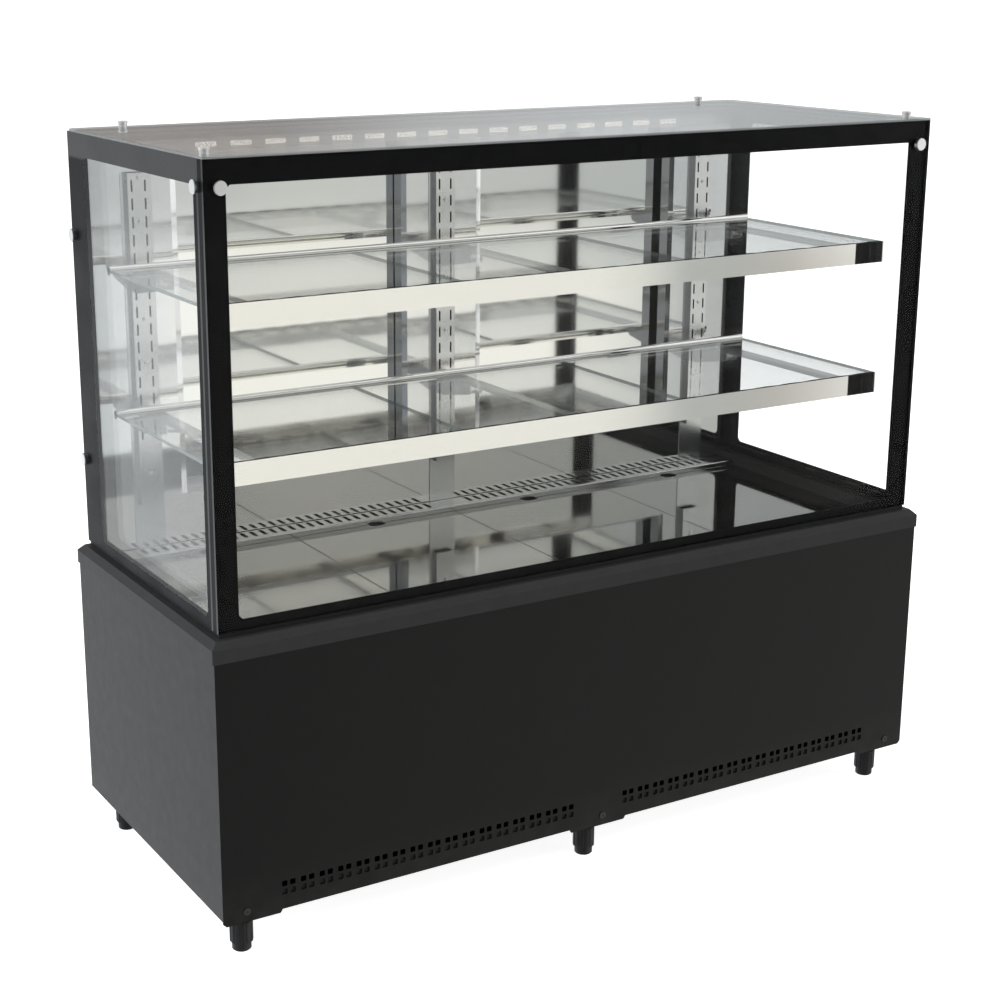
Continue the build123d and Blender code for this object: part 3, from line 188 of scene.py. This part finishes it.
def thin_glass(name, edge_axis, edge=(0.14, 0.17, 0.16), reflect=1.0, solid=0.75, edge_shine=0.6):
    """A pane: clear on its two faces, darker and denser on its polished edges."""
    g = Graph(name)
    facing = g.add("ShaderNodeLayerWeight", {"Blend": 0.5}).outputs["Facing"]
    grazing = g.math("MULTIPLY", g.math("POWER", facing, 5.0), 0.96 * reflect)
    fresnel = g.math("ADD", grazing, 0.04 * reflect)
    smear = g.noise(5.0, 5.0, rough=0.7)
    rough = g.ramp(smear, 0.35, 0.8, 0.0, 0.035)
    normal = g.bump(g.noise(2.2, 1.0), 0.02, 0.002)
    clear = g.add("ShaderNodeBsdfTransparent", {"Color": CLEAR_TINT}).outputs[0]
    gloss = g.add("ShaderNodeBsdfGlossy", {"Color": (1.0, 1.0, 1.0), "Roughness": rough,
                                           "Normal": normal}).outputs[0]
    pane = g.add("ShaderNodeMixShader", {0: fresnel, 1: clear, 2: gloss}).outputs[0]
    edge_glow = principled(g, color=edge, rough=0.08, specular=edge_shine)
    edge_clear = g.add("ShaderNodeBsdfTransparent", {"Color": tuple(c * 1.3 for c in edge)}).outputs[0]
    rim = g.add("ShaderNodeMixShader", {0: solid, 1: edge_clear, 2: edge_glow}).outputs[0]
    on_face = g.ramp(g.axis_of_normal(edge_axis), 0.45, 0.55)
    return g.finish(g.add("ShaderNodeMixShader", {0: on_face, 1: rim, 2: pane}).outputs[0])


def gloss_border(name, color=(0.0028, 0.0028, 0.0030), specular=0.07, matt=0.25, crown=None):
    """Black print on the glass, part gloss and part flat, glossier above the height "crown"."""
    g = Graph(name)
    speck = g.noise(260.0, 2.0)
    tone = g.mix_color(g.ramp(speck, 0.35, 0.65), tuple(c * 0.8 for c in color), tuple(c * 1.3 for c in color))
    rough = g.ramp(g.noise(12.0, 4.0), 0.3, 0.7, 0.22, 0.34)
    if crown:
        height = g.add("ShaderNodeSeparateXYZ", {"Vector": g.object_point()}).outputs["Z"]
        specular = g.ramp(height, crown - CROWN_BLEND, crown + CROWN_BLEND, specular, specular * CROWN_GLOSS)
    gloss = principled(g, color=tone, rough=rough, specular=specular)
    flat = g.add("ShaderNodeBsdfDiffuse", {"Color": tone}).outputs[0]
    return g.finish(g.add("ShaderNodeMixShader", {0: matt, 1: gloss, 2: flat}).outputs[0])


def led_lens(name, glow, strength, axis, low, high):
    """Opal lenses on a white carrier: the lenses stand proud of one level and glow."""
    g = Graph(name)
    point = g.add("ShaderNodeTexCoord").outputs["Object"]
    level = g.add("ShaderNodeSeparateXYZ", {"Vector": point}).outputs[axis]
    lens = g.ramp(level, low, high)
    grain = g.noise(500.0, 2.0)
    tone = g.mix_color(lens, (0.62, 0.62, 0.60), (0.93, 0.91, 0.85))
    normal = g.bump(grain, 0.1, 0.0003)
    seen = g.add("ShaderNodeLightPath").outputs["Is Camera Ray"]
    power = g.math("MULTIPLY", lens, g.ramp(seen, 0.0, 1.0, strength * 0.35, strength))
    return g.finish(principled(g, color=tone, rough=g.ramp(g.noise(40.0), 0.3, 0.7, 0.25, 0.4),
                               emission=glow, strength=power, normal=normal))


def mirror(name):
    """Silvered panel with a light bloom from wiping."""
    g = Graph(name)
    smear = g.noise(4.0, 6.0, (1, 1, 0.4), 0.7)
    rough = g.ramp(smear, 0.3, 0.8, 0.035, 0.085)
    tone = g.mix_color(smear, (0.90, 0.90, 0.875), (0.96, 0.96, 0.94))
    normal = g.bump(g.noise(2.6, 2.0), 0.03, 0.003)
    return g.finish(principled(g, color=tone, rough=rough, metal=1.0, normal=normal))


def copper(name):
    g = Graph(name)
    age = g.ramp(g.noise(18.0, 6.0, rough=0.7), 0.35, 0.75)
    tone = g.mix_color(age, (0.78, 0.40, 0.24), (0.36, 0.17, 0.10))
    return g.finish(principled(g, color=tone, rough=g.ramp(age, 0, 1, 0.22, 0.5), metal=1.0,
                               normal=g.bump(g.noise(300.0), 0.1, 0.0003)))


POLISHED = (0.88, 0.87, 0.84)
MATERIALS = {
    "cladding_black": powder_coat("cladding_black", (0.0032, 0.0032, 0.0034), 0.38, 0.24),
    "frame_paint": powder_coat("frame_paint", (0.012, 0.012, 0.013), 0.6),
    "ledge_grey": powder_coat("ledge_grey", (0.030, 0.030, 0.031), 0.42, 0.14),
    "galvanised": metal("galvanised", (0.50, 0.51, 0.52), 0.38, streak_scale=46.0, bump=0.1, spread=0.08),
    "rubber_black": plastic("rubber_black", (0.012, 0.012, 0.012), 0.62),
    "foot_plastic": plastic("foot_plastic", (0.020, 0.020, 0.021), 0.45),
    "border_black": gloss_border("border_black"),
    "side_print": gloss_border("side_print", crown=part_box("side_glass_borders")[1][2] - 42 * MM),
    "clamp_steel": metal("clamp_steel", (0.86, 0.86, 0.85), 0.38, streak_scale=300.0, bump=0.03, share=0.7),
    "cap_steel": metal("cap_steel", (0.86, 0.86, 0.85), 0.30, streak_scale=300.0, bump=0.03),
    "polished_steel": metal("polished_steel", POLISHED, 0.05, (1, 1, 14), 60.0, 0.004, 0.02, 0.02),
    "satin_steel": metal("satin_steel", (0.80, 0.80, 0.79), 0.22, (14, 14, 1), 60.0, 0.03),
    "deck_grey": metal("deck_grey", (0.40, 0.395, 0.38), 0.05, (16, 1, 1), 60.0, 0.006, 0.03, 0.02),
    "column_steel": metal("column_steel", (0.90, 0.90, 0.89), 0.07, (1, 14, 1), 60.0, 0.004, 0.02, 0.02, 0.93),
    "grille_steel": metal("grille_steel", (0.50, 0.50, 0.49), 0.16, (14, 1, 1), 60.0, 0.02),
    "door_aluminium": metal("door_aluminium", (0.56, 0.56, 0.57), 0.30, (1, 1, 30), 60.0, 0.03),
    "mirror": mirror("mirror"),
    "fitting_plastic": plastic("fitting_plastic", (0.020, 0.020, 0.020), 0.45),
    "tub_plastic": plastic("tub_plastic", (0.70, 0.70, 0.68), 0.35, 300.0, 0.04),
    "coil_aluminium": metal("coil_aluminium", (0.72, 0.73, 0.74), 0.34, (1, 30, 1), 60.0, 0.04),
    "compressor_black": powder_coat("compressor_black", (0.012, 0.012, 0.013), 0.32, 0.5),
    "copper": copper("copper"),
    "button_rubber": plastic("button_rubber", (0.24, 0.24, 0.25), 0.55),
    "rocker_plastic": plastic("rocker_plastic", (0.02, 0.20, 0.05), 0.25, specular=0.5),
    "tray_plastic": plastic("tray_plastic", (0.18, 0.18, 0.19), 0.5),
    # slot_dark: flat black for real dark parts, and also painted shade behind the standards' slots and in the
    # shelf clips' scallops
    "slot_dark": plastic("slot_dark", (0.010, 0.010, 0.010), 0.7, specular=0.1),
    "silicone": plastic("silicone", (0.012, 0.012, 0.012), 0.35, 300.0, 0.02),
    "mark_white": plastic("mark_white", (0.75, 0.75, 0.73), 0.5),
}
OWN_LOOK = {"rear_columns": "column_steel", "air_grille": "grille_steel", "glass_clamps": "clamp_steel",
            "side_glass_borders": "side_print"}
DARK_EDGE = (0.014, 0.016, 0.016)
GLASS = {
    "front_glass": thin_glass("glass_front", "Y", edge=DARK_EDGE, reflect=0.10, solid=1.0, edge_shine=0.2),
    "side_glass": thin_glass("glass_side", "X", edge=DARK_EDGE, reflect=0.40, solid=1.0, edge_shine=0.2),
    "top_glass": thin_glass("glass_top", "Z", edge=(0.42, 0.44, 0.44), solid=0.5),
    "lower_shelf_glass": thin_glass("glass_lower_shelf", "Z"),
    "upper_shelf_glass": thin_glass("glass_upper_shelf", "Z"),
}
WARM = (1.0, 0.93, 0.80)
LENS_PROUD_UP, LENS_PROUD_FRONT = 3.5 * MM, 4.0 * MM


def shelf_lens(node):
    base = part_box(node)[1][2] - LENS_PROUD_UP
    return led_lens(f"lens_{node}", WARM, 0.9, "Z", base + 0.2 * MM, base + 1.0 * MM)


bar_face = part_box("top_light_bar")[0][1] + LENS_PROUD_FRONT
LIGHTS = {
    "lower_shelf_leds": shelf_lens("lower_shelf_leds"),
    "upper_shelf_leds": shelf_lens("upper_shelf_leds"),
    "top_light_bar": led_lens("lens_top", WARM, 1.6, "Y", bar_face - 0.2 * MM, bar_face - 1.8 * MM),
}
SLOT_OF = {part["node"]: part["material_slot"] for part in frame["record"]["subparts"]}
BODY_OF = {node: body for body, members in frame["record"]["behaviour"]["bodies"].items() for node in members}


def dress(obj, material):
    obj.data.materials.clear()
    obj.data.materials.append(material)


def soften(obj, width, segments=2, angle=35):
    """Breaks the sharp edges of a node, which catches the light along them."""
    bevel = obj.modifiers.new("edge", "BEVEL")
    bevel.width = width
    bevel.segments = segments
    bevel.limit_method = "ANGLE"
    bevel.angle_limit = math.radians(angle)
    bevel.use_clamp_overlap = True


for node, obj in NODES.items():
    dress(obj, GLASS.get(node) or LIGHTS.get(node) or MATERIALS[OWN_LOOK.get(node, SLOT_OF[node])])

for node in ("side_panels", "ledge_rim", "rear_panel", "service_panel", "control_box", "top_glass",
             "lower_shelf_glass", "upper_shelf_glass"):
    soften(NODES[node], 0.5 * MM)
for node in NODES:
    if node.startswith("deck_panel"):
        soften(NODES[node], 1.0 * MM)

# ------------------------------------------------------------------ small parts
class Piece:
    """A mesh built up from simple solids, in metres, that rides on one body."""

    def __init__(self, name):
        self.name = name
        self.mesh = bmesh.new()

    def box(self, low, high):
        corners = [(x, y, z) for z in (low[2], high[2]) for y in (low[1], high[1]) for x in (low[0], high[0])]
        v = [self.mesh.verts.new(c) for c in corners]
        for ring in ((0, 2, 3, 1), (4, 5, 7, 6), (0, 1, 5, 4), (2, 6, 7, 3), (0, 4, 6, 2), (1, 3, 7, 5)):
            self.mesh.faces.new([v[i] for i in ring])

    def solid(self, outline, axis, start, end):
        """A closed outline in the other two axes, drawn out along one axis."""
        rings = []
        for level in (start, end):
            ring = []
            for point in outline:
                place = list(point)
                place.insert(axis, level)
                ring.append(self.mesh.verts.new(place))
            rings.append(ring)
        count = len(outline)
        for k in range(count):
            nxt = (k + 1) % count
            self.mesh.faces.new([rings[0][k], rings[0][nxt], rings[1][nxt], rings[1][k]])
        self.mesh.faces.new(rings[0][::-1])
        self.mesh.faces.new(rings[1])

    def dome(self, center, outward, radius, height, segments=20):
        """A low button head that stands on a face, with a small socket in its crown."""
        profile = [(1.0, 0.0), (1.0, 0.35), (0.92, 0.68), (0.72, 0.92), (0.38, 1.0), (0.34, 0.45), (0.0, 0.45)]
        turn = Vector(outward).to_track_quat("Z", "Y").to_matrix()
        rings = []
        for ratio, rise in profile[:-1]:
            ring = []
            for k in range(segments):
                a = 2 * math.pi * k / segments
                spot = Vector((math.cos(a) * radius * ratio, math.sin(a) * radius * ratio, rise * height))
                ring.append(self.mesh.verts.new(Vector(center) + turn @ spot))
            rings.append(ring)
        for low, high in zip(rings, rings[1:]):
            for k in range(segments):
                nxt = (k + 1) % segments
                self.mesh.faces.new([low[k], low[nxt], high[nxt], high[k]])
        self.mesh.faces.new(rings[0][::-1])
        self.mesh.faces.new(rings[-1])

    def place(self, material, body, slot=None, bevel=0.0):
        bmesh.ops.recalc_face_normals(self.mesh, faces=self.mesh.faces)
        data = bpy.data.meshes.new(self.name)
        self.mesh.to_mesh(data)
        self.mesh.free()
        obj = bpy.data.objects.new(self.name, data)
        bpy.context.scene.collection.objects.link(obj)
        dress(obj, MATERIALS[material])
        if bevel:
            soften(obj, bevel)
        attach(obj, body)
        return obj


BODY = next(body for node, body in BODY_OF.items() if node == "chassis_frame")
lowest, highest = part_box("shelf_standards")
STANDARD_XS = (-625 * MM, 0.0, 625 * MM)
STANDARD_FACE = lowest[1]
SLOT_SHADE_HALF, SLOT_SHADE_GAP, SLOT_SHADE_T, SLOT_SHADE_FOOT, SLOT_SHADE_DROP = 17 * MM, 6 * MM, 1.5 * MM, 645 * MM, 4 * MM
STANDARD_SCREW_ZS = (0.700, 0.905, 0.985, 1.160, 1.236)
JAMB_SCREW_X, JAMB_SCREW_ZS = 704 * MM, (0.70, 0.98, 1.26)
HEADER_SCREW_XS, HEADER_SCREW_Z = (-0.60, -0.20, 0.20, 0.60), 1.304
SMALL_HEAD, LARGE_HEAD, HEAD_HEIGHT = 3.4 * MM, 3.6 * MM, 1.8 * MM

# A thin black sheet inside each shelf standard, behind its slots: painted shade, standing in for the shade
# inside the hollow standards.
slot_shade = Piece("standard_slot_shade")
for x in STANDARD_XS:
    slot_shade.box((x - SLOT_SHADE_HALF, STANDARD_FACE + SLOT_SHADE_GAP, SLOT_SHADE_FOOT),
                (x + SLOT_SHADE_HALF, STANDARD_FACE + SLOT_SHADE_GAP + SLOT_SHADE_T, highest[2] - SLOT_SHADE_DROP))
slot_shade.place("slot_dark", BODY, "rubber_black")

screws = Piece("standard_screws")
for x in STANDARD_XS:
    for z in STANDARD_SCREW_ZS:
        screws.dome((x, STANDARD_FACE, z), (0, -1, 0), SMALL_HEAD, HEAD_HEIGHT)
screws.place("cap_steel", BODY, "cap_steel")

rear_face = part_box("door_surround")[1][1]
jamb_screws = Piece("surround_screws")
for sx in (-1, 1):
    for z in JAMB_SCREW_ZS:
        jamb_screws.dome((sx * JAMB_SCREW_X, rear_face, z), (0, 1, 0), LARGE_HEAD, HEAD_HEIGHT)
for x in HEADER_SCREW_XS:
    jamb_screws.dome((x, rear_face, HEADER_SCREW_Z), (0, 1, 0), LARGE_HEAD, HEAD_HEIGHT)
jamb_screws.place("cap_steel", BODY, "cap_steel")

# pressed hoods over the louvre slots of the service panel
PANEL_FACE, PANEL_MID = 310.5 * MM, (-6 * MM, 266 * MM)
LOUVRE_COLUMNS, LOUVRE_ROWS, LOUVRE_PITCH_X, LOUVRE_PITCH_Z = 13, 9, 84 * MM, 22 * MM
HOOD_ROOT = (35 * MM, -4.5 * MM, 6.5 * MM)       # half length, foot and head where it leaves the panel
HOOD_CREST = (31 * MM, -4.0 * MM, 1.5 * MM)      # the same at its crest
HOOD_PROUD = (4.5 * MM, 3.2 * MM)                # how far the crest's foot and head stand out
hoods = Piece("louvre_hoods")
for column in range(LOUVRE_COLUMNS):
    for row in range(LOUVRE_ROWS):
        x = PANEL_MID[0] + (column - LOUVRE_COLUMNS // 2) * LOUVRE_PITCH_X
        z = PANEL_MID[1] + (row - LOUVRE_ROWS // 2) * LOUVRE_PITCH_Z
        spots = []
        for (half, foot, head), (foot_out, head_out) in ((HOOD_ROOT, (0.0, 0.0)), (HOOD_CREST, HOOD_PROUD)):
            spots += [(x - half, PANEL_FACE + foot_out, z + foot), (x + half, PANEL_FACE + foot_out, z + foot),
                      (x + half, PANEL_FACE + head_out, z + head), (x - half, PANEL_FACE + head_out, z + head)]
        v = [hoods.mesh.verts.new(spot) for spot in spots]
        for ring in ((3, 2, 6, 7), (7, 6, 5, 4), (0, 3, 7, 4), (1, 5, 6, 2), (4, 5, 1, 0), (0, 1, 2, 3)):
            hoods.mesh.faces.new([v[i] for i in ring])
hoods.place("cladding_black", "service_panel", "cladding_black", 0.8 * MM)

# clear-cut black clip between the glass and the front strip of each shelf, with shallow scallops; the scallops
# are painted shade, the dark between the pools of LED light on the strip
CLIP_STEPS, SCALLOP_SHADE_WAVES = 460, 23
for level in ("lower", "upper"):
    low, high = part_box(f"{level}_shelf_glass")
    clip = Piece(f"{level}_shelf_clip")
    length = high[0] - low[0] - 4 * MM
    rows = []
    for k in range(CLIP_STEPS + 1):
        x = low[0] + 2 * MM + length * k / CLIP_STEPS
        # the scalloped crest is painted shade between the pools of LED light
        crest = 0.5 * MM + 0.9 * MM * abs(math.sin(math.pi * SCALLOP_SHADE_WAVES * k / CLIP_STEPS))
        rows.append([clip.mesh.verts.new(spot) for spot in (
            (x, low[1] + 0.1 * MM, high[2]), (x, low[1] + 0.1 * MM, high[2] + crest),
            (x, low[1] + 1.6 * MM, high[2] + crest), (x, low[1] + 2.2 * MM, high[2]))])
    for here, there in zip(rows, rows[1:]):
        for k in range(4):
            nxt = (k + 1) % 4
            clip.mesh.faces.new([here[k], here[nxt], there[nxt], there[k]])
    clip.mesh.faces.new(rows[0][::-1])
    clip.mesh.faces.new(rows[-1])
    clip.place("slot_dark", f"{level}_shelf", "rubber_black")

# silicone in the two inner corners of the glazing, slim enough for the deck panels to lift past it
BEAD, BEAD_WAIST = 2.8 * MM, 1.3 * MM
GLAZING, CORNER_BLOCK = 20 * MM, 27 * MM          # thickness of the side glazing, height of the clamp block
inner_x, inner_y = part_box("side_glass")[1][0] - GLAZING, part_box("front_glass")[1][1]
z0, z1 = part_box("front_glass")[0][2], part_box("front_glass")[1][2]
beads = Piece("corner_sealant")
for sx in (-1, 1):
    outline = [(sx * inner_x, inner_y), (sx * (inner_x - BEAD), inner_y),
               (sx * (inner_x - BEAD_WAIST), inner_y + BEAD_WAIST), (sx * inner_x, inner_y + BEAD)]
    beads.solid(outline, 2, z0, z1 - CORNER_BLOCK)
beads.place("silicone", BODY, "rubber_black")

# brush seal on the back of the inner sliding door, where the two doors overlap
low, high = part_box("left_door_frame")
brush = Piece("door_brush_seal")
brush.box((high[0] - 12 * MM, high[1], low[2] + 3 * MM),
          (high[0] - 6 * MM, high[1] + 1.5 * MM, high[2] - 3 * MM))
brush.place("slot_dark", "left_door", "fitting_plastic")

# mitred corners of the two door frames, as thin dark lines on both faces
inset, run, half, out, deep = 0.6 * MM, 23.5 * MM, 0.25 * MM, 0.05 * MM, 0.1 * MM
for side in ("left", "right"):
    low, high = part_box(f"{side}_door_frame")
    mitres = Piece(f"{side}_door_mitres")
    for x, sx in ((low[0], 1), (high[0], -1)):
        for z, sz in ((low[2], 1), (high[2], -1)):
            outline = [(x + sx * inset, z + sz * (inset + half)), (x + sx * (inset + half), z + sz * inset),
                       (x + sx * run, z + sz * (run - half)), (x + sx * (run - half), z + sz * run)]
            for start, end in ((low[1] - out, low[1] + deep), (high[1] - deep, high[1] + out)):
                mitres.solid(outline, 1, start, end)
    mitres.place("slot_dark", f"{side}_door", "fitting_plastic")

# temperature display: a dark window with two digits and a decimal point
low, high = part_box("control_box")
control_x = (low[0] + high[0]) / 2
DISPLAY_Z, DISPLAY_Y, DIGIT_Y0, DIGIT_Y1 = 306 * MM, 309.5 * MM, 310.1 * MM, 310.3 * MM
WINDOW_HALF, WINDOW_RISE = 33.5 * MM, 12.5 * MM
window = Piece("display_window")
window.box((control_x - WINDOW_HALF, DISPLAY_Y, DISPLAY_Z - WINDOW_RISE),
           (control_x + WINDOW_HALF, DIGIT_Y0, DISPLAY_Z + WINDOW_RISE))
window.place("border_black", BODY, "fitting_plastic")
SEGMENTS = {"3": "abgcd", "5": "afgcd"}
digits = Piece("display_digits")
for symbol, shift in (("3", 11 * MM), ("5", -9 * MM)):
    w, h, t = 5 * MM, 8 * MM, 1.0 * MM
    middle = control_x + shift
    bars = {"a": ((-w, h - t), (w, h + t)), "g": ((-w, -t), (w, t)), "d": ((-w, -h - t), (w, -h + t)),
            "b": ((-w - t, 0.001), (-w + t, h - t)), "c": ((-w - t, -h + t), (-w + t, -0.001)),
            "f": ((w - t, 0.001), (w + t, h - t))}
    for key in SEGMENTS[symbol]:
        (u0, v0), (u1, v1) = bars[key]
        digits.box((middle + u0, DIGIT_Y0, DISPLAY_Z + v0), (middle + u1, DIGIT_Y1, DISPLAY_Z + v1))
digits.box((control_x + 1 * MM, DIGIT_Y0, DISPLAY_Z - 9 * MM),
           (control_x + 3 * MM, DIGIT_Y1, DISPLAY_Z - 7 * MM))
g = Graph("digit_glow")
flicker = g.mix_color(g.noise(400.0), (0.85, 0.10, 0.05), (1.0, 0.18, 0.08))
MATERIALS["digit_glow"] = g.finish(principled(g, color=flicker, rough=0.4, emission=flicker, strength=1.6))
digits.place("digit_glow", BODY, "fitting_plastic")

# marks pressed into the three buttons: a ring, and arrows up and down
for node, shape in (("button_set", "dot"), ("button_up", "up"), ("button_down", "down")):
    low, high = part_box(node)
    x, z, face = (low[0] + high[0]) / 2, (low[2] + high[2]) / 2, high[1]
    r = 1.6 * MM
    tip = {"up": r, "down": -r}.get(shape)
    if tip is None:
        outline = [(x + r * math.cos(k * math.pi / 8), z + r * math.sin(k * math.pi / 8)) for k in range(16)]
    else:
        outline = [(x - r, z - tip * 0.7), (x + r, z - tip * 0.7), (x, z + tip)]
    mark = Piece(f"{node}_mark")
    mark.solid(outline, 1, face - 0.1 * MM, face + 0.08 * MM)
    mark.place("mark_white", BODY_OF[node], "button_rubber")

# ---------------------------------------------------------------------- stage
WHITE_TO_CAMERA = 1.5                 # brighter than white, so that it stays white behind the glass
FLOOR_REACH = 90.0
FLOOR_TONES = (0.80, 0.795, 0.78), (0.83, 0.825, 0.81)


def camera_only(g, seen, other):
    """One shader for what the camera sees directly, another for every other ray."""
    path = g.add("ShaderNodeLightPath").outputs["Is Camera Ray"]
    return g.add("ShaderNodeMixShader", {0: path, 1: other, 2: seen}).outputs[0]


floor_mesh = bpy.data.meshes.new("floor")
build = bmesh.new()
bmesh.ops.create_grid(build, x_segments=2, y_segments=2, size=FLOOR_REACH)
build.to_mesh(floor_mesh)
build.free()
floor = bpy.data.objects.new("floor", floor_mesh)
bpy.context.scene.collection.objects.link(floor)
floor.visible_glossy = False
g = Graph("floor_white")
tone = g.mix_color(g.noise(0.8, 2.0), *FLOOR_TONES)
pale = principled(g, color=tone, rough=0.9, specular=0.1)
bright = principled(g, color=tone, rough=0.9, specular=0.0, emission=(1.0, 1.0, 1.0), strength=0.9)
dress(floor, g.finish(camera_only(g, bright, pale)))

# The room: its brightness by compass direction, looking down and looking up.
# Zero degrees is the customer side, ninety the right-hand side.
ROOM_STRENGTH = 2.0
ROOM_LOW = [
    (-180, (0.55, 0.56, 0.58)), (-165, (1.18, 1.22, 1.25)), (-148, (1.15, 1.22, 1.26)),
    (-120, (0.70, 0.72, 0.75)), (-90, (0.45, 0.47, 0.50)), (-60, (0.32, 0.32, 0.34)),
    (-36, (0.14, 0.15, 0.16)), (-33.5, (0.80, 0.80, 0.80)), (-32, (0.15, 0.16, 0.17)),
    (0, (0.18, 0.19, 0.20)), (14, (0.24, 0.26, 0.28)), (18, (0.38, 0.42, 0.44)),
    (20.5, (0.66, 0.69, 0.70)), (22.3, (0.98, 0.96, 0.90)), (35.2, (0.95, 0.93, 0.88)),
    (36.6, (0.80, 0.80, 0.76)), (37.6, (0.52, 0.54, 0.53)), (39.0, (0.50, 0.51, 0.50)),
    (41.4, (0.56, 0.53, 0.50)), (42.7, (0.82, 0.80, 0.77)), (44, (0.96, 0.95, 0.92)),
    (52, (0.95, 0.94, 0.92)), (75, (0.60, 0.60, 0.60)), (110, (0.50, 0.50, 0.50)),
    (180, (0.55, 0.56, 0.58)),
]
ROOM_HIGH = [
    (-180, (0.50, 0.51, 0.53)), (-150, (0.85, 0.90, 0.93)), (-120, (0.60, 0.62, 0.64)),
    (-60, (0.40, 0.40, 0.41)), (-30, (0.14, 0.15, 0.16)), (10, (0.20, 0.21, 0.23)),
    (21, (0.50, 0.51, 0.51)), (26, (0.60, 0.60, 0.58)), (34, (0.52, 0.53, 0.52)),
    (38, (0.50, 0.52, 0.53)), (43, (1.10, 1.10, 1.10)), (55, (1.20, 1.20, 1.20)),
    (80, (0.60, 0.61, 0.62)), (120, (0.42, 0.43, 0.45)), (139, (0.50, 0.52, 0.53)),
    (144, (0.57, 0.59, 0.60)), (150, (0.50, 0.51, 0.51)), (155, (0.31, 0.29, 0.28)),
    (164, (0.36, 0.34, 0.33)), (180, (0.50, 0.51, 0.53)),
]
LOOK_DOWN, LOOK_UP = -0.150, -0.115   # sine of the elevation where the two meet


def compass(stops):
    return [((degrees + 180) / 360, tuple(c / ROOM_STRENGTH for c in color)) for degrees, color in stops]


g = Graph("studio", "World")
toward = g.add("ShaderNodeSeparateXYZ", {"Vector": g.add("ShaderNodeTexCoord").outputs["Generated"]})
bearing = g.math("ARCTAN2", toward.outputs["X"], g.math("MULTIPLY", toward.outputs["Y"], -1.0))
turn = g.ramp(bearing, -math.pi, math.pi)
rise = g.ramp(toward.outputs["Z"], LOOK_DOWN, LOOK_UP, smooth=True)
room = g.mix_color(rise, g.color_ramp(turn, compass(ROOM_LOW)), g.color_ramp(turn, compass(ROOM_HIGH)))
around = g.add("ShaderNodeBackground", {"Color": room, "Strength": ROOM_STRENGTH}).outputs[0]
behind = g.add("ShaderNodeBackground", {"Color": (1.0, 1.0, 1.0), "Strength": WHITE_TO_CAMERA}).outputs[0]
bpy.context.scene.world = g.finish(camera_only(g, behind, around))


def area_light(name, place, target, size, power, color):
    light = bpy.data.lights.new(name, "AREA")
    light.shape = "RECTANGLE"
    light.size, light.size_y = size
    light.energy = power
    light.color = color
    obj = bpy.data.objects.new(name, light)
    bpy.context.scene.collection.objects.link(obj)
    obj.location = place
    direction = Vector(target) - Vector(place)
    obj.rotation_euler = direction.to_track_quat("-Z", "Y").to_euler()
    obj.visible_glossy = False


area_light("key", (-2.6, -2.4, 3.6), (0, 0, 0.7), (2.4, 2.0), 90, (1.0, 0.98, 0.95))
area_light("fill", (3.2, -2.2, 2.6), (0, 0, 0.7), (2.5, 2.0), 35, (0.96, 0.98, 1.0))
area_light("left", (-3.4, 0.4, 1.6), (-0.7, 0, 0.6), (2.0, 2.2), 40, (1.0, 1.0, 1.0))

# --------------------------------------------------------------------- camera
CAMERA_PLACE, YAW, PITCH = (-1.820, -2.853, 1.588), 0.532, 0.27
FOCAL, SENSOR, SHIFT = 66.75, 36.0, (0.0535, -0.0175)
lens = bpy.data.cameras.new("camera")
lens.lens = FOCAL
lens.sensor_width = SENSOR
lens.shift_x, lens.shift_y = SHIFT
lens.clip_end = 200.0
camera = bpy.data.objects.new("camera", lens)
bpy.context.scene.collection.objects.link(camera)
camera.location = CAMERA_PLACE
camera.rotation_euler = (math.pi / 2 - PITCH, 0.0, -YAW)
bpy.context.scene.camera = camera

scene = bpy.context.scene
scene.view_settings.view_transform = "Standard"
scene.view_settings.look = "None"
scene.cycles.max_bounces = 24
scene.cycles.transparent_max_bounces = 48
scene.cycles.glossy_bounces = 16
scene.cycles.sample_clamp_indirect = 6.0
